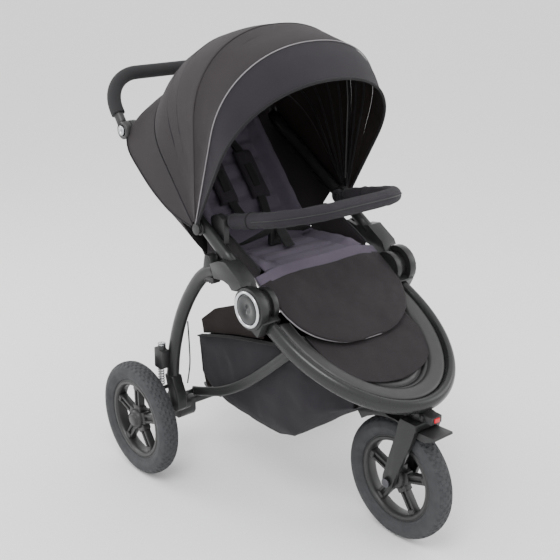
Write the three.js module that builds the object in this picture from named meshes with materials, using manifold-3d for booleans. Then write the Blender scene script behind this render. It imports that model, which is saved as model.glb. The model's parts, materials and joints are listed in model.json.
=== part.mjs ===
// A three-wheel pushchair: millimetres, +Z up, front towards -Y, floor at Z = 0.
import * as THREE from 'three';
import { mergeVertices } from 'three/addons/utils/BufferGeometryUtils.js';
import Module from 'manifold-3d';

const wasm = await Module();
wasm.setup();

// ---- driving sizes ---------------------------------------------------------------------------
const GAP = 0.4; // between pieces that touch
const PLAY = 0.5; // between a pin and its bore, on the radius
const PIN_R = 6;

// wheels
const WHEEL_R = 147.5;
const TYRE_HALF = 25.5;
const RIM_R = 103;
const WHEEL_SIDES = 30;
const TRACK_HALF = 298;
const REAR_AXLE_Y = 277;
const FRONT_AXLE_Y = -346;

// side frame, in the plane of each side (Y, Z), and its layers from the middle outwards (X)
const HUB = [-101, 543];
const HUB_R = 48.5;
const LEG_PIVOT = [52, 613];
const HANDLE_PIVOT = [386, 861];
const TUBE_ANGLE = THREE.MathUtils.degToRad(31.6);
const TUBE_X = 213;
const TUBE_W = 26;
const TUBE_H = 30;
const LEG_X = 228;
const LEG_W = 30;
const LEG_H = 34;
const BAR_W = 10;
const BAR_H = 24;
const BAR_X = 184;
const ARM_NEAR = 196;
const HUB_OUT = 242;
const HUB_IN = 186;

// front loop: a half ellipse on a slope, with straight ends that run to the hubs
const LOOP_SLOPE = THREE.MathUtils.degToRad(26.6);
const LOOP_CENTRE = [-170, 484.5];
const LOOP_HALF_WIDTH = 206.6;
const LOOP_LENGTH = 277;
const LOOP_TAIL = 36;
const LOOP_W = 28;
const LOOP_H = 36;
const BOSS_LENGTH = 32; // how far each hub's boss runs past the loop's straight end

// steering
const STEER_Y = -400;
const CROWN_TOP = 321;
const CROWN_BASE = 304;
const FORK_IN = 31;
const FORK_OUT = 42;
const STEM_R = 8;

// rear suspension
const KNUCKLE_PIN = [205, 190];
const BAR_END = [200, 216];
const SPRING_Y = 240;
const SPRING_X = 253.5;
const SPRING_R = 9;
const SPRING_BASE = 236;
const SPRING_TOP = 289;

// seat
const SEAT_HALF = 163;
const SHELL_WALL = 5;
const BACK_PIVOT = [146, 572];
const BACK_ANGLE = THREE.MathUtils.degToRad(50);
const BACK_LENGTH = 372;
const BACK_HALF = 155;

// canopy: arches that turn about one line through both canopy pivots
const CANOPY_PIVOT = [93, 679];
const CANOPY_CLEAR = 14; // from each upper tube out to the canopy's cloth
const CANOPY_W = TUBE_X + TUBE_W / 2 + CANOPY_CLEAR;
const CLOTH = 2.5;
const CANOPY_FOOT = 45;
const ARCH_RISE = 200;
const ARCH_POWER = 2.2;
const ARCH_STEPS = 12;

// bumper bar
const BUMPER_PIVOT = [62, 692];
const BUMPER_REACH = 255;
const BUMPER_R = 19;
const BUMPER_X = 176;
const BUMPER_TILT = THREE.MathUtils.degToRad(14);

// handle
const HANDLE_ANGLE = THREE.MathUtils.degToRad(53);
const HANDLE_REACH = 150;
const HANDLE_X = 233;
const HANDLE_BEND = 95;
const GRIP_R = 17;
const BAR_R = 11;
const JOINT_R = 22;
const HANDLE_NEAR = 222.4; // where the handle's joint discs start
const JOINT_W = 20;
const KNOB_R = 12;

// ---- building blocks --------------------------------------------------------------------------
const SIDES = [['right', -1], ['left', 1]];
const ALONG_X = new THREE.Matrix4().makeBasis(
  new THREE.Vector3(0, 1, 0), new THREE.Vector3(0, 0, 1), new THREE.Vector3(1, 0, 0));

const dark = () => new THREE.MeshStandardMaterial({ color: 0x2b2b2d, roughness: 0.42, metalness: 0.5 });
const plastic = () => new THREE.MeshStandardMaterial({ color: 0x1d1d1f, roughness: 0.55, metalness: 0 });
const silver = () => new THREE.MeshStandardMaterial({ color: 0xb9bcc0, roughness: 0.3, metalness: 0.9 });
const steel = () => new THREE.MeshStandardMaterial({ color: 0x8d8f92, roughness: 0.35, metalness: 1 });
const rubber = () => new THREE.MeshStandardMaterial({ color: 0x242527, roughness: 0.85, metalness: 0 });
const foam = () => new THREE.MeshStandardMaterial({ color: 0x202022, roughness: 0.8, metalness: 0 });
const fabric = () => new THREE.MeshStandardMaterial({ color: 0x1b1a1c, roughness: 0.9, metalness: 0 });
const lining = () => new THREE.MeshStandardMaterial({ color: 0x3a3640, roughness: 0.9, metalness: 0 });
const red = () => new THREE.MeshStandardMaterial({ color: 0xc01822, roughness: 0.4, metalness: 0 });

function solid(geometry) {
  const bare = geometry.clone();
  bare.deleteAttribute('normal');
  bare.deleteAttribute('uv');
  const merged = mergeVertices(bare, 1e-3);
  return new wasm.Manifold(new wasm.Mesh({
    numProp: 3,
    vertProperties: new Float32Array(merged.attributes.position.array),
    triVerts: new Uint32Array(merged.index.array),
  }));
}

function geometryOf(manifold) {
  const mesh = manifold.getMesh();
  const geometry = new THREE.BufferGeometry();
  geometry.setAttribute('position', new THREE.BufferAttribute(new Float32Array(mesh.vertProperties), 3));
  geometry.setIndex(new THREE.BufferAttribute(new Uint32Array(mesh.triVerts), 1));
  geometry.computeVertexNormals();
  return geometry;
}

// one body from pieces that overlap, less the pieces in cuts
function joined(pieces, cuts = []) {
  let body = solid(pieces[0]);
  for (const piece of pieces.slice(1)) body = body.add(solid(piece));
  for (const cut of cuts) body = body.subtract(solid(cut));
  return geometryOf(body);
}

// the X range of a layer on one side of the middle
const layer = (s, near, far) => (s < 0 ? [-far, -near] : [near, far]);

// an outline in (Y, Z) given thickness along X
function plate(shape, [from, to], curveSegments = 5) {
  const geometry = new THREE.ExtrudeGeometry(shape, { depth: to - from, bevelEnabled: false, curveSegments });
  return geometry.applyMatrix4(ALONG_X).translate(from, 0, 0);
}

function disc([y, z], radius, [from, to], sides = 20) {
  const geometry = new THREE.CylinderGeometry(radius, radius, to - from, sides);
  return geometry.rotateZ(Math.PI / 2).translate((from + to) / 2, y, z);
}

function box(x, y, z) {
  const geometry = new THREE.BoxGeometry(x[1] - x[0], y[1] - y[0], z[1] - z[0]);
  return geometry.translate((x[0] + x[1]) / 2, (y[0] + y[1]) / 2, (z[0] + z[1]) / 2);
}

// a polygon whose corners are rounded by up to radius
function rounded(points, radius) {
  const corners = points.map(([x, y]) => new THREE.Vector2(x, y));
  const shape = new THREE.Shape();
  corners.forEach((corner, i) => {
    const before = corners[(i + corners.length - 1) % corners.length];
    const after = corners[(i + 1) % corners.length];
    const inwards = (other) => {
      const edge = other.clone().sub(corner);
      return corner.clone().add(edge.setLength(Math.min(radius, edge.length() * 0.45)));
    };
    const start = inwards(before);
    const end = inwards(after);
    if (i === 0) shape.moveTo(start.x, start.y);
    else shape.lineTo(start.x, start.y);
    shape.quadraticCurveTo(corner.x, corner.y, end.x, end.y);
  });
  shape.closePath();
  return shape;
}

function oval(width, height) {
  const shape = new THREE.Shape();
  shape.absellipse(0, 0, width / 2, height / 2, 0, Math.PI * 2, false, 0);
  return shape;
}

function tube(path, section, steps, curveSegments = 5) {
  return new THREE.ExtrudeGeometry(section, { steps, extrudePath: path, bevelEnabled: false, curveSegments });
}

// a path that a tube follows from one given station to the next, not in equal lengths
function stationed(path) {
  path.getUtoTmapping = (u) => u;
  return path;
}

// a smooth path through (Y, Z) points at one X
function sidePath(x, points) {
  return stationed(new THREE.CatmullRomCurve3(points.map(([y, z]) => new THREE.Vector3(x, y, z)), false, 'chordal'));
}

// stations along straight runs joined by round bends that start a given length before each corner
function bentStations(points, bend, perBend = 5) {
  const stations = [points[0]];
  for (let i = 1; i < points.length - 1; i += 1) {
    const corner = points[i];
    const start = points[i - 1].clone().sub(corner).setLength(bend).add(corner);
    const end = points[i + 1].clone().sub(corner).setLength(bend).add(corner);
    const centre = start.clone().add(end).sub(corner);
    for (let j = 0; j <= perBend; j += 1) {
      const angle = (j / perBend) * (Math.PI / 2);
      stations.push(centre.clone()
        .add(start.clone().sub(centre).multiplyScalar(Math.cos(angle)))
        .add(end.clone().sub(centre).multiplyScalar(Math.sin(angle))));
    }
  }
  stations.push(points[points.length - 1]);
  return stations;
}

// a solid bar or a hollow sleeve through stations
function along(stations, section) {
  const path = stationed(new THREE.CatmullRomCurve3(stations, false, 'chordal'));
  return tube(path, section, stations.length - 1);
}

// a ring or drum turned about X, from a closed (radius, x) outline
function turned(outline, sides) {
  const points = [...outline, outline[0]].map(([r, x]) => new THREE.Vector2(r, x));
  return new THREE.LatheGeometry(points, sides).rotateZ(-Math.PI / 2);
}

const add2 = (a, b) => [a[0] + b[0], a[1] + b[1]];
const polar = (centre, radius, degrees) => {
  const angle = THREE.MathUtils.degToRad(degrees);
  return [centre[0] + radius * Math.cos(angle), centre[1] + radius * Math.sin(angle)];
};

const root = new THREE.Group();
function place(name, geometry, material, parent = root) {
  const mesh = new THREE.Mesh(geometry, material);
  mesh.name = name;
  parent.add(mesh);
  return mesh;
}

// ---- wheels -----------------------------------------------------------------------------------
function tyre() {
  const bead = TYRE_HALF - 8;
  const middle = (WHEEL_R + RIM_R) / 2;
  return turned([
    [RIM_R + GAP, -bead], [middle, -TYRE_HALF], [WHEEL_R - 9, -TYRE_HALF + 6],
    [WHEEL_R, -9], [WHEEL_R, 9], [WHEEL_R - 9, TYRE_HALF - 6], [middle, TYRE_HALF], [RIM_R + GAP, bead],
  ], WHEEL_SIDES);
}

// five pairs of spokes between a hub and a rim; a cap closes the hub on capSide (+1, -1 or 0)
function rim(capSide) {
  const spokes = 5;
  const hubHalf = 22;
  const rimHalf = 17;
  const ring = turned([
    [RIM_R - 14, -rimHalf + 3], [RIM_R - 6, -rimHalf], [RIM_R, -rimHalf], [RIM_R, rimHalf],
    [RIM_R - 6, rimHalf], [RIM_R - 14, rimHalf - 3],
  ], WHEEL_SIDES);
  const pieces = [ring, disc([0, 0], 24, [-hubHalf, hubHalf], 20)];
  for (let i = 0; i < spokes; i += 1) {
    for (const offset of [-7, 7]) {
      const spoke = new THREE.BoxGeometry(20, 7, RIM_R - 24);
      spoke.translate(0, offset, (RIM_R - 24) / 2 + 14).rotateX((i * 2 * Math.PI) / spokes);
      pieces.push(spoke);
    }
  }
  if (capSide) pieces.push(disc([0, 0], 17, capSide > 0 ? [hubHalf - 2, hubHalf + 5] : [-hubHalf - 5, 2 - hubHalf], 20));
  const bore = capSide ? layer(capSide, -hubHalf - 1, 6) : [-hubHalf - 1, hubHalf + 1];
  return joined(pieces, [disc([0, 0], PIN_R + PLAY, bore, 16)]);
}

function wheel(name, parent, capSide) {
  place(`${name}_rim`, rim(capSide), plastic(), parent);
  place(`${name}_tyre`, tyre(), rubber(), parent);
}

const frontWheel = new THREE.Group();
frontWheel.position.set(0, FRONT_AXLE_Y, WHEEL_R);
root.add(frontWheel);
wheel('front_wheel', frontWheel, 0);
for (const [side, s] of SIDES) {
  const rearWheel = new THREE.Group();
  rearWheel.position.set(s * TRACK_HALF, REAR_AXLE_Y, WHEEL_R);
  root.add(rearWheel);
  wheel(`${side}_rear_wheel`, rearWheel, s);
}

// ---- fork, fender and steering head -----------------------------------------------------------
const FRONT_AXLE = [FRONT_AXLE_Y, WHEEL_R];
function fork() {
  const outline = rounded([
    [STEER_Y - 26, CROWN_TOP], [STEER_Y + 26, CROWN_TOP], [STEER_Y + 30, CROWN_BASE - 10],
    [FRONT_AXLE_Y + 16, WHEEL_R + 6], [FRONT_AXLE_Y + 10, WHEEL_R - 18], [FRONT_AXLE_Y - 14, WHEEL_R - 18],
    [FRONT_AXLE_Y - 20, WHEEL_R + 10], [STEER_Y - 12, CROWN_BASE - 34],
  ], 12);
  const legs = SIDES.map(([, s]) => plate(outline, layer(s, FORK_IN, FORK_OUT)));
  const crown = box([-FORK_OUT + 1, FORK_OUT - 1], [STEER_Y - 24, STEER_Y + 24], [CROWN_BASE, CROWN_TOP]);
  const bore = new THREE.CylinderGeometry(STEM_R + PLAY, STEM_R + PLAY, 60, 20);
  bore.rotateX(Math.PI / 2).translate(0, STEER_Y, CROWN_TOP);
  return joined([...legs, crown], [bore, disc(FRONT_AXLE, PIN_R + PLAY, [-60, 60], 16)]);
}
place('fork', fork(), dark());

function frontAxle() {
  const reach = FORK_OUT + GAP;
  const nuts = SIDES.map(([, s]) => disc(FRONT_AXLE, 11, layer(s, reach, reach + 6), 16));
  return joined([disc(FRONT_AXLE, PIN_R, [-reach - 2, reach + 2], 16), ...nuts]);
}
place('front_axle', frontAxle(), steel());

// the fender follows the tyre, thick behind the fork and drawn out to a nose ahead of it
function fender() {
  const inner = WHEEL_R + 6;
  const skin = inner + 4;
  const points = [];
  for (let a = 50; a <= 118; a += 8.5) points.push(polar(FRONT_AXLE, inner, a));
  points.push([STEER_Y - 40, CROWN_BASE - 22], [STEER_Y - 68, CROWN_BASE - 7], [STEER_Y - 66, CROWN_BASE - 2],
    [STEER_Y - 30, CROWN_BASE - 4]);
  for (let a = 108; a >= 84; a -= 8) points.push(polar(FRONT_AXLE, skin, a));
  for (let a = 74; a >= 50; a -= 8) points.push(polar(FRONT_AXLE, skin + 18, a));
  const outline = new THREE.Shape(points.reverse().map(([y, z]) => new THREE.Vector2(y, z)));
  return plate(outline, [GAP - FORK_IN + 1, FORK_IN - 1 - GAP]);
}
place('front_fender', fender(), plastic());

const LOCK = { half: 16, front: STEER_Y - 45, back: STEER_Y - 20, base: CROWN_TOP + 1, top: CROWN_TOP + 17 };
function steeringHead() {
  const web = new THREE.Shape([
    [STEER_Y - 24, CROWN_TOP + 1], [STEER_Y + 24, CROWN_TOP + 1], [STEER_Y + 26, CROWN_TOP + 9],
    [STEER_Y + 55, CROWN_TOP + 41], [STEER_Y + 50, CROWN_TOP + 51], [STEER_Y + 12, CROWN_TOP + 34],
    [STEER_Y - 3, CROWN_TOP + 19], [STEER_Y - 24, CROWN_TOP + 15],
  ].map(([y, z]) => new THREE.Vector2(y, z)));
  const drum = new THREE.CylinderGeometry(24, 24, 16, 24).rotateX(Math.PI / 2);
  drum.translate(0, STEER_Y, CROWN_TOP + 9);
  const stem = new THREE.CylinderGeometry(STEM_R, STEM_R, 22, 20).rotateX(Math.PI / 2);
  stem.translate(0, STEER_Y, CROWN_TOP - 5);
  const housing = box([-LOCK.half, LOCK.half], [LOCK.front, LOCK.back], [LOCK.base, LOCK.top]);
  const pocket = box([-8, 8], [LOCK.front - 5, LOCK.front + 15], [LOCK.base + 3, LOCK.top - 3]);
  return joined([drum, plate(web, [-20, 20]), stem, housing], [pocket]);
}
place('steering_head', steeringHead(), plastic());
const lockButton = box([GAP - 8, 8 - GAP], [LOCK.front - 3, LOCK.front + 10], [LOCK.base + 3 + GAP, LOCK.top - 3 - GAP]);
place('swivel_lock_button', lockButton, red());

// ---- front loop and footrest ------------------------------------------------------------------
// this group's X and Y lie in the loop's sloping plane
const slope = new THREE.Group();
slope.position.set(0, ...LOOP_CENTRE);
slope.rotation.x = LOOP_SLOPE;
root.add(slope);

const BAR_START = [-200, LOOP_CENTRE[1] + (-200 - LOOP_CENTRE[0]) * Math.tan(LOOP_SLOPE)];

function onEllipse(halfWidth, length, degrees) {
  const angle = THREE.MathUtils.degToRad(degrees);
  return [halfWidth * Math.cos(angle), -length * Math.sin(angle)];
}

function frontLoop() {
  const points = [[LOOP_HALF_WIDTH, LOOP_TAIL]];
  for (let a = 0; a <= 180; a += 9) points.push(onEllipse(LOOP_HALF_WIDTH, LOOP_LENGTH, a));
  points.push([-LOOP_HALF_WIDTH, LOOP_TAIL]);
  return along(points.map(([x, y]) => new THREE.Vector3(x, y, 0)), oval(LOOP_H, LOOP_W));
}
place('front_loop', frontLoop(), dark(), slope);

// a rim inside the front of the loop, with a bridge that the footwell cloth rests on
function footrest() {
  const outerX = LOOP_HALF_WIDTH - LOOP_W / 2 - 1;
  const outerY = LOOP_LENGTH - LOOP_W / 2 - 1;
  const width = 34;
  const from = 34;
  const points = [];
  for (let a = from; a <= 180 - from; a += 8) points.push(onEllipse(outerX, outerY, a));
  points.push(onEllipse(outerX, outerY, 180 - from));
  for (let a = 180 - from; a >= from; a -= 8) points.push(onEllipse(outerX - width, outerY - width, a));
  points.push(onEllipse(outerX - width, outerY - width, from));
  const outline = new THREE.Shape(points.map(([x, y]) => new THREE.Vector2(x, y)));
  const rimPlate = new THREE.ExtrudeGeometry(outline, { depth: 20, bevelEnabled: false }).translate(0, 0, -10);
  const bridge = box([-60, 60], [width - outerY - 14, width - outerY + 70], [-10, -4]);
  return joined([rimPlate, bridge]);
}
place('footrest_tray', footrest(), plastic(), slope);

const footwell = rounded([[-150, -60], [-100, -150], [-52, -200], [52, -200], [100, -150], [150, -60]], 30);
const footwellPad = new THREE.ExtrudeGeometry(footwell, { depth: 6, bevelEnabled: false, curveSegments: 4 });
place('footwell_cloth', footwellPad.translate(0, 0, GAP - 4), fabric(), slope);

// ---- hubs -------------------------------------------------------------------------------------
const LUG_NEAR = TUBE_X - TUBE_W / 2 + 0.3;
const LUG_FAR = LUG_NEAR + 21.4;
const loopEnd = (along, across) => {
  const [c, w] = [Math.cos(LOOP_SLOPE), Math.sin(LOOP_SLOPE)];
  return [LOOP_CENTRE[0] + along * c - across * w, LOOP_CENTRE[1] + along * w + across * c];
};

function hubHousing(s) {
  const boss = rounded([
    loopEnd(LOOP_TAIL + GAP, -LOOP_H / 2 - 2), loopEnd(LOOP_TAIL + BOSS_LENGTH, -LOOP_H / 2 - 2),
    loopEnd(LOOP_TAIL + BOSS_LENGTH, LOOP_H / 2 + 2), loopEnd(LOOP_TAIL + GAP, LOOP_H / 2 + 2),
  ], 3);
  const pieces = [
    disc(HUB, HUB_R - 8, layer(s, HUB_IN, LUG_NEAR - GAP)),
    disc(HUB, HUB_R, layer(s, LUG_FAR + GAP, HUB_OUT), 24),
    plate(boss, layer(s, HUB_IN, HUB_OUT - 4)),
  ];
  const slot = disc(HUB, 34.5, layer(s, LUG_NEAR - GAP, LUG_FAR + GAP));
  return joined(pieces, [slot, disc(HUB, PIN_R + PLAY, layer(s, HUB_IN - 2, HUB_OUT + 2), 16)]);
}

// the cap covers the hub's outer face, and its shank is the pin that the frame folds on
function hubCap(s) {
  const face = HUB_OUT + GAP;
  return joined([
    disc(HUB, 42, layer(s, face, face + 4), 24),
    disc(HUB, 34, layer(s, face + 2, face + 6), 24),
    disc(HUB, PIN_R, layer(s, HUB_IN, face + 2), 16),
  ]);
}

// ---- upper frame ------------------------------------------------------------------------------
const LEG_POINTS = [
  [29.6, 596.8], [60, 583], [96.5, 555.8], [139, 503.4], [176, 441.4], [201.3, 380.2], [217.8, 321], [227, 256],
];
const seamAngle = Math.atan2(LEG_POINTS[1][1] - LEG_POINTS[0][1], LEG_POINTS[1][0] - LEG_POINTS[0][0]);
// a point by the seam between the arch's two halves: back from the seam, and up across it
const bySeam = (backwards, up) => add2(LEG_POINTS[0], [
  backwards * Math.cos(seamAngle) - up * Math.sin(seamAngle),
  backwards * Math.sin(seamAngle) + up * Math.cos(seamAngle),
]);
const onTube = (along, across = 0) => [
  HANDLE_PIVOT[0] - along * Math.cos(TUBE_ANGLE) - across * Math.sin(TUBE_ANGLE),
  HANDLE_PIVOT[1] - along * Math.sin(TUBE_ANGLE) + across * Math.cos(TUBE_ANGLE),
];
const TUBE_START = 472; // from the handle pivot, along the tube

function tubeSolid(x, from, to, spare = 0) {
  const path = new THREE.LineCurve3(new THREE.Vector3(x, ...onTube(from)), new THREE.Vector3(x, ...onTube(to)));
  return tube(path, oval(TUBE_W + 2 * spare, TUBE_H + 2 * spare), 1);
}

// holds the upper tube, carries the front of the arch and turns on the hub pin
function hubMoulding(s) {
  const body = new THREE.Shape([
    [-84, 577], onTube(TUBE_START + 55, 17), onTube(TUBE_START - 4, 17), [6, 626], [20, 620], bySeam(-GAP - 0.3, LEG_H / 2),
    bySeam(-GAP - 0.3, -LEG_H / 2), [8, 583], [-14, 585], [-32, 581], [-44, 571],
  ].map(([y, z]) => new THREE.Vector2(y, z)));
  const arm = new THREE.Shape([
    [-112, 560], [-84, 577], [-44, 571], [-80, 530],
  ].map(([y, z]) => new THREE.Vector2(y, z)));
  const lug = new THREE.Shape([
    [10, 585], [LEG_PIVOT[0] - 4, LEG_PIVOT[1] - 12], add2(LEG_PIVOT, [13, 4]), add2(LEG_PIVOT, [4, 14]), [20, 620],
  ].map(([y, z]) => new THREE.Vector2(y, z)));
  const far = LEG_X + LEG_W / 2;
  const lugFar = LEG_X - LEG_W / 2 - GAP;
  const pieces = [
    plate(body, layer(s, LUG_NEAR, far)),
    plate(arm, layer(s, LUG_NEAR, LUG_FAR)),
    disc(HUB, 33.5, layer(s, LUG_NEAR, LUG_FAR)),
    plate(lug, layer(s, LUG_NEAR, lugFar)),
    disc(LEG_PIVOT, 5, layer(s, lugFar - 2, far - 4), 16),
  ];
  const cuts = [
    disc(HUB, HUB_R + 1.5, layer(s, LUG_FAR, far + 2), 24),
    disc(HUB, PIN_R + PLAY, layer(s, LUG_NEAR - 2, LUG_FAR + 2), 16),
    tubeSolid(s * TUBE_X, 380, TUBE_START + GAP, GAP),
  ];
  return joined(pieces, cuts);
}

function upperTube(s) {
  return tubeSolid(s * TUBE_X, JOINT_R + GAP + 1, TUBE_START);
}

function handleHousing(s) {
  return joined([disc(HANDLE_PIVOT, JOINT_R, layer(s, TUBE_X - 10, HANDLE_NEAR - GAP))],
    [disc(HANDLE_PIVOT, PIN_R, layer(s, TUBE_X - 12, HANDLE_X), 12)]);
}

// ---- handle -----------------------------------------------------------------------------------
const handleGroup = new THREE.Group();
handleGroup.position.set(0, ...HANDLE_PIVOT);
handleGroup.rotation.x = HANDLE_ANGLE;
root.add(handleGroup);

function handleStations(from) {
  const [x, y] = [HANDLE_X, HANDLE_REACH];
  const v = (a, b) => new THREE.Vector3(a, b, 0);
  return bentStations([v(-x, from), v(-x, y), v(x, y), v(x, from)], HANDLE_BEND);
}

function handleBar() {
  const far = HANDLE_NEAR + JOINT_W;
  const ends = SIDES.map(([, s]) => disc([0, 0], JOINT_R, layer(s, HANDLE_NEAR, far)));
  const pockets = SIDES.map(([, s]) => disc([0, 0], KNOB_R + PLAY, layer(s, far - 8, far + 2)));
  return joined([along(handleStations(12), oval(2 * BAR_R, 2 * BAR_R)), ...ends], pockets);
}

function handleGrip() {
  const section = oval(2 * GRIP_R, 2 * GRIP_R);
  section.holes.push(oval(2 * BAR_R + 1.2, 2 * BAR_R + 1.2));
  return along(handleStations(48), section);
}
place('handle_bar', handleBar(), dark(), handleGroup);
place('handle_grip', handleGrip(), foam(), handleGroup);
for (const [side, s] of SIDES) {
  const far = HANDLE_NEAR + JOINT_W;
  place(`${side}_handle_button`, disc([0, 0], KNOB_R, layer(s, far - 4.5, far + 4)), silver(), handleGroup);
}

// ---- rear legs and suspension -----------------------------------------------------------------
const REAR_AXLE = [REAR_AXLE_Y, WHEEL_R];
const SPRING_FOOT = [SPRING_Y + 6, SPRING_BASE - 10];

function rearLeg(s) {
  const ear = rounded([bySeam(2, 4), bySeam(44, 4), add2(LEG_PIVOT, [8, 15]), add2(LEG_PIVOT, [-7, 15]),
    bySeam(2, LEG_H / 2)], 4);
  const knuckle = rounded([
    [208, 268], [243, 266], [233, 238], [227, 212], [225, 190], [216, 174], [198, 174], [188, 184],
    [187, 205], [192, 230], [203, 250],
  ], 5);
  const [near, far] = [LEG_X - LEG_W / 2, LEG_X + LEG_W / 2];
  const pieces = [
    tube(sidePath(s * LEG_X, LEG_POINTS), oval(LEG_W, LEG_H), 11),
    plate(ear, layer(s, near + 2, far - 3)),
    plate(knuckle, layer(s, near, far)),
    disc(KNUCKLE_PIN, PIN_R, layer(s, ARM_NEAR - 1, near + 2), 16),
    disc(BAR_END, PIN_R, layer(s, BAR_X + BAR_W / 2 + 0.6, near + 2), 16),
  ];
  return joined(pieces, [disc(LEG_PIVOT, 5 + PLAY, layer(s, near - 2, far + 2), 16)]);
}

function springBracket(s) {
  const outline = rounded([[SPRING_Y - 20, SPRING_TOP + 1], [SPRING_Y + 11, SPRING_TOP + 1],
    [SPRING_Y + 10, SPRING_TOP + 54], [SPRING_Y - 26, SPRING_TOP + 50]], 4);
  const knob = new THREE.CylinderGeometry(9.5, 10.5, 18, 16).rotateX(Math.PI / 2);
  knob.translate(s * SPRING_X, SPRING_Y - 8, SPRING_TOP + 58);
  return joined([plate(outline, layer(s, LEG_X + LEG_W / 2 + GAP, SPRING_X + SPRING_R + 2)), knob]);
}

function spring(s) {
  const turns = 5;
  const pitch = (SPRING_TOP - SPRING_BASE - 1) / turns;
  const points = [[0, 0]];
  for (let i = 0; i < turns; i += 1) {
    points.push([SPRING_R - 2, i * pitch], [SPRING_R, (i + 0.5) * pitch]);
  }
  points.push([SPRING_R - 2, turns * pitch], [0, turns * pitch]);
  const geometry = new THREE.LatheGeometry(points.map(([r, z]) => new THREE.Vector2(r, z)), 10);
  return geometry.rotateX(Math.PI / 2).translate(s * SPRING_X, SPRING_Y, SPRING_BASE + 0.5);
}

// carries a wheel's stub axle and the spring's foot, and swings on the knuckle's pin
function swingArm(s) {
  const outline = rounded([
    add2(KNUCKLE_PIN, [-14, 6]), add2(KNUCKLE_PIN, [-10, -13]), add2(REAR_AXLE, [-8, -19]),
    add2(REAR_AXLE, [17, -10]), add2(REAR_AXLE, [15, 14]), add2(SPRING_FOOT, [12, 4]),
    add2(SPRING_FOOT, [0, 12]), add2(SPRING_FOOT, [-12, 6]), add2(KNUCKLE_PIN, [8, 15]),
  ], 9);
  const arm = layer(s, ARM_NEAR, LEG_X - LEG_W / 2 - GAP);
  return joined([
    plate(outline, arm),
    disc(REAR_AXLE, PIN_R, layer(s, ARM_NEAR + 2, TRACK_HALF + 4), 16),
    disc(REAR_AXLE, 15, layer(s, ARM_NEAR + 2, TRACK_HALF - TYRE_HALF - 3), 20),
    disc(SPRING_FOOT, 5, layer(s, ARM_NEAR + 2, SPRING_X + SPRING_R), 14),
  ], [disc(KNUCKLE_PIN, PIN_R + PLAY, [Math.min(...arm) - 2, Math.max(...arm) + 2], 16)]);
}

function rearAxleTube() {
  const boxes = SIDES.map(([, s]) => plate(rounded([
    add2(REAR_AXLE, [-32, -16]), add2(REAR_AXLE, [-22, -30]), add2(REAR_AXLE, [22, -28]),
    add2(REAR_AXLE, [26, 18]), add2(REAR_AXLE, [-10, 28]), add2(REAR_AXLE, [-32, 22]),
  ], 6), layer(s, 148, ARM_NEAR - GAP)));
  return joined([disc(REAR_AXLE, 13, [GAP - ARM_NEAR, ARM_NEAR - GAP], 20), ...boxes]);
}
place('rear_axle_tube', rearAxleTube(), plastic());

function brakePedal() {
  const outline = rounded([
    add2(REAR_AXLE, [-20, -16]), add2(REAR_AXLE, [14, -19]), add2(REAR_AXLE, [60, -8]),
    add2(REAR_AXLE, [62, 2]), add2(REAR_AXLE, [20, 14]), add2(REAR_AXLE, [-4, 22]), add2(REAR_AXLE, [-21, 10]),
  ], 8);
  return joined([plate(outline, [-55, 55])], [disc(REAR_AXLE, 13 + PLAY, [-60, 60], 20)]);
}
place('brake_pedal', brakePedal(), plastic());

// ---- basket -----------------------------------------------------------------------------------
function basketBar(s) {
  const path = sidePath(s * BAR_X, [BAR_START, [-152, 428.5], [-82, 368.5], [-5, 309.5], [75, 262],
    [148, 233], BAR_END]);
  const span = layer(s, BAR_X - BAR_W / 2, BAR_X + BAR_W / 2);
  return joined([
    tube(path, oval(BAR_W, BAR_H), 9, 4),
    disc(BAR_START, BAR_H / 2, span, 16),
    disc(BAR_END, BAR_H / 2, span, 16),
  ], [BAR_START, BAR_END].map((end) => disc(end, PIN_R + PLAY, [span[0] - 2, span[1] + 2], 16)));
}

function basket() {
  const half = BAR_X - BAR_W / 2 - GAP;
  const wall = 5;
  const outline = [
    [183, 417], [180, 330], [162, 232], [128, 184], [60, 164], [-60, 164], [-130, 192], [-205, 266],
    [-255, 330], [-262, 372], [-62, 492], [8, 500],
  ];
  const inner = [
    [178, 440], [175, 331], [157, 235], [125, 188.5], [59, 169], [-58, 169], [-126, 196.5], [-200, 269.5],
    [-250, 332], [-256, 368], [-62, 484], [-20, 486], [-20, 530],
  ];
  const shape = (points) => new THREE.Shape(points.map(([y, z]) => new THREE.Vector2(y, z)));
  return joined([plate(shape(outline), [-half, half])], [plate(shape(inner), [wall - half, half - wall])]);
}
place('basket', basket(), fabric());

for (const [side, s] of SIDES) {
  place(`${side}_hub_housing`, hubHousing(s), dark());
  place(`${side}_hub_cap`, hubCap(s), silver());
  place(`${side}_hub_moulding`, hubMoulding(s), dark());
  place(`${side}_upper_tube`, upperTube(s), dark());
  place(`${side}_handle_housing`, handleHousing(s), plastic());
  place(`${side}_rear_leg`, rearLeg(s), dark());
  place(`${side}_spring_bracket`, springBracket(s), plastic());
  place(`${side}_spring`, spring(s), steel());
  place(`${side}_swing_arm`, swingArm(s), plastic());
  place(`${side}_basket_bar`, basketBar(s), dark());
}

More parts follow.
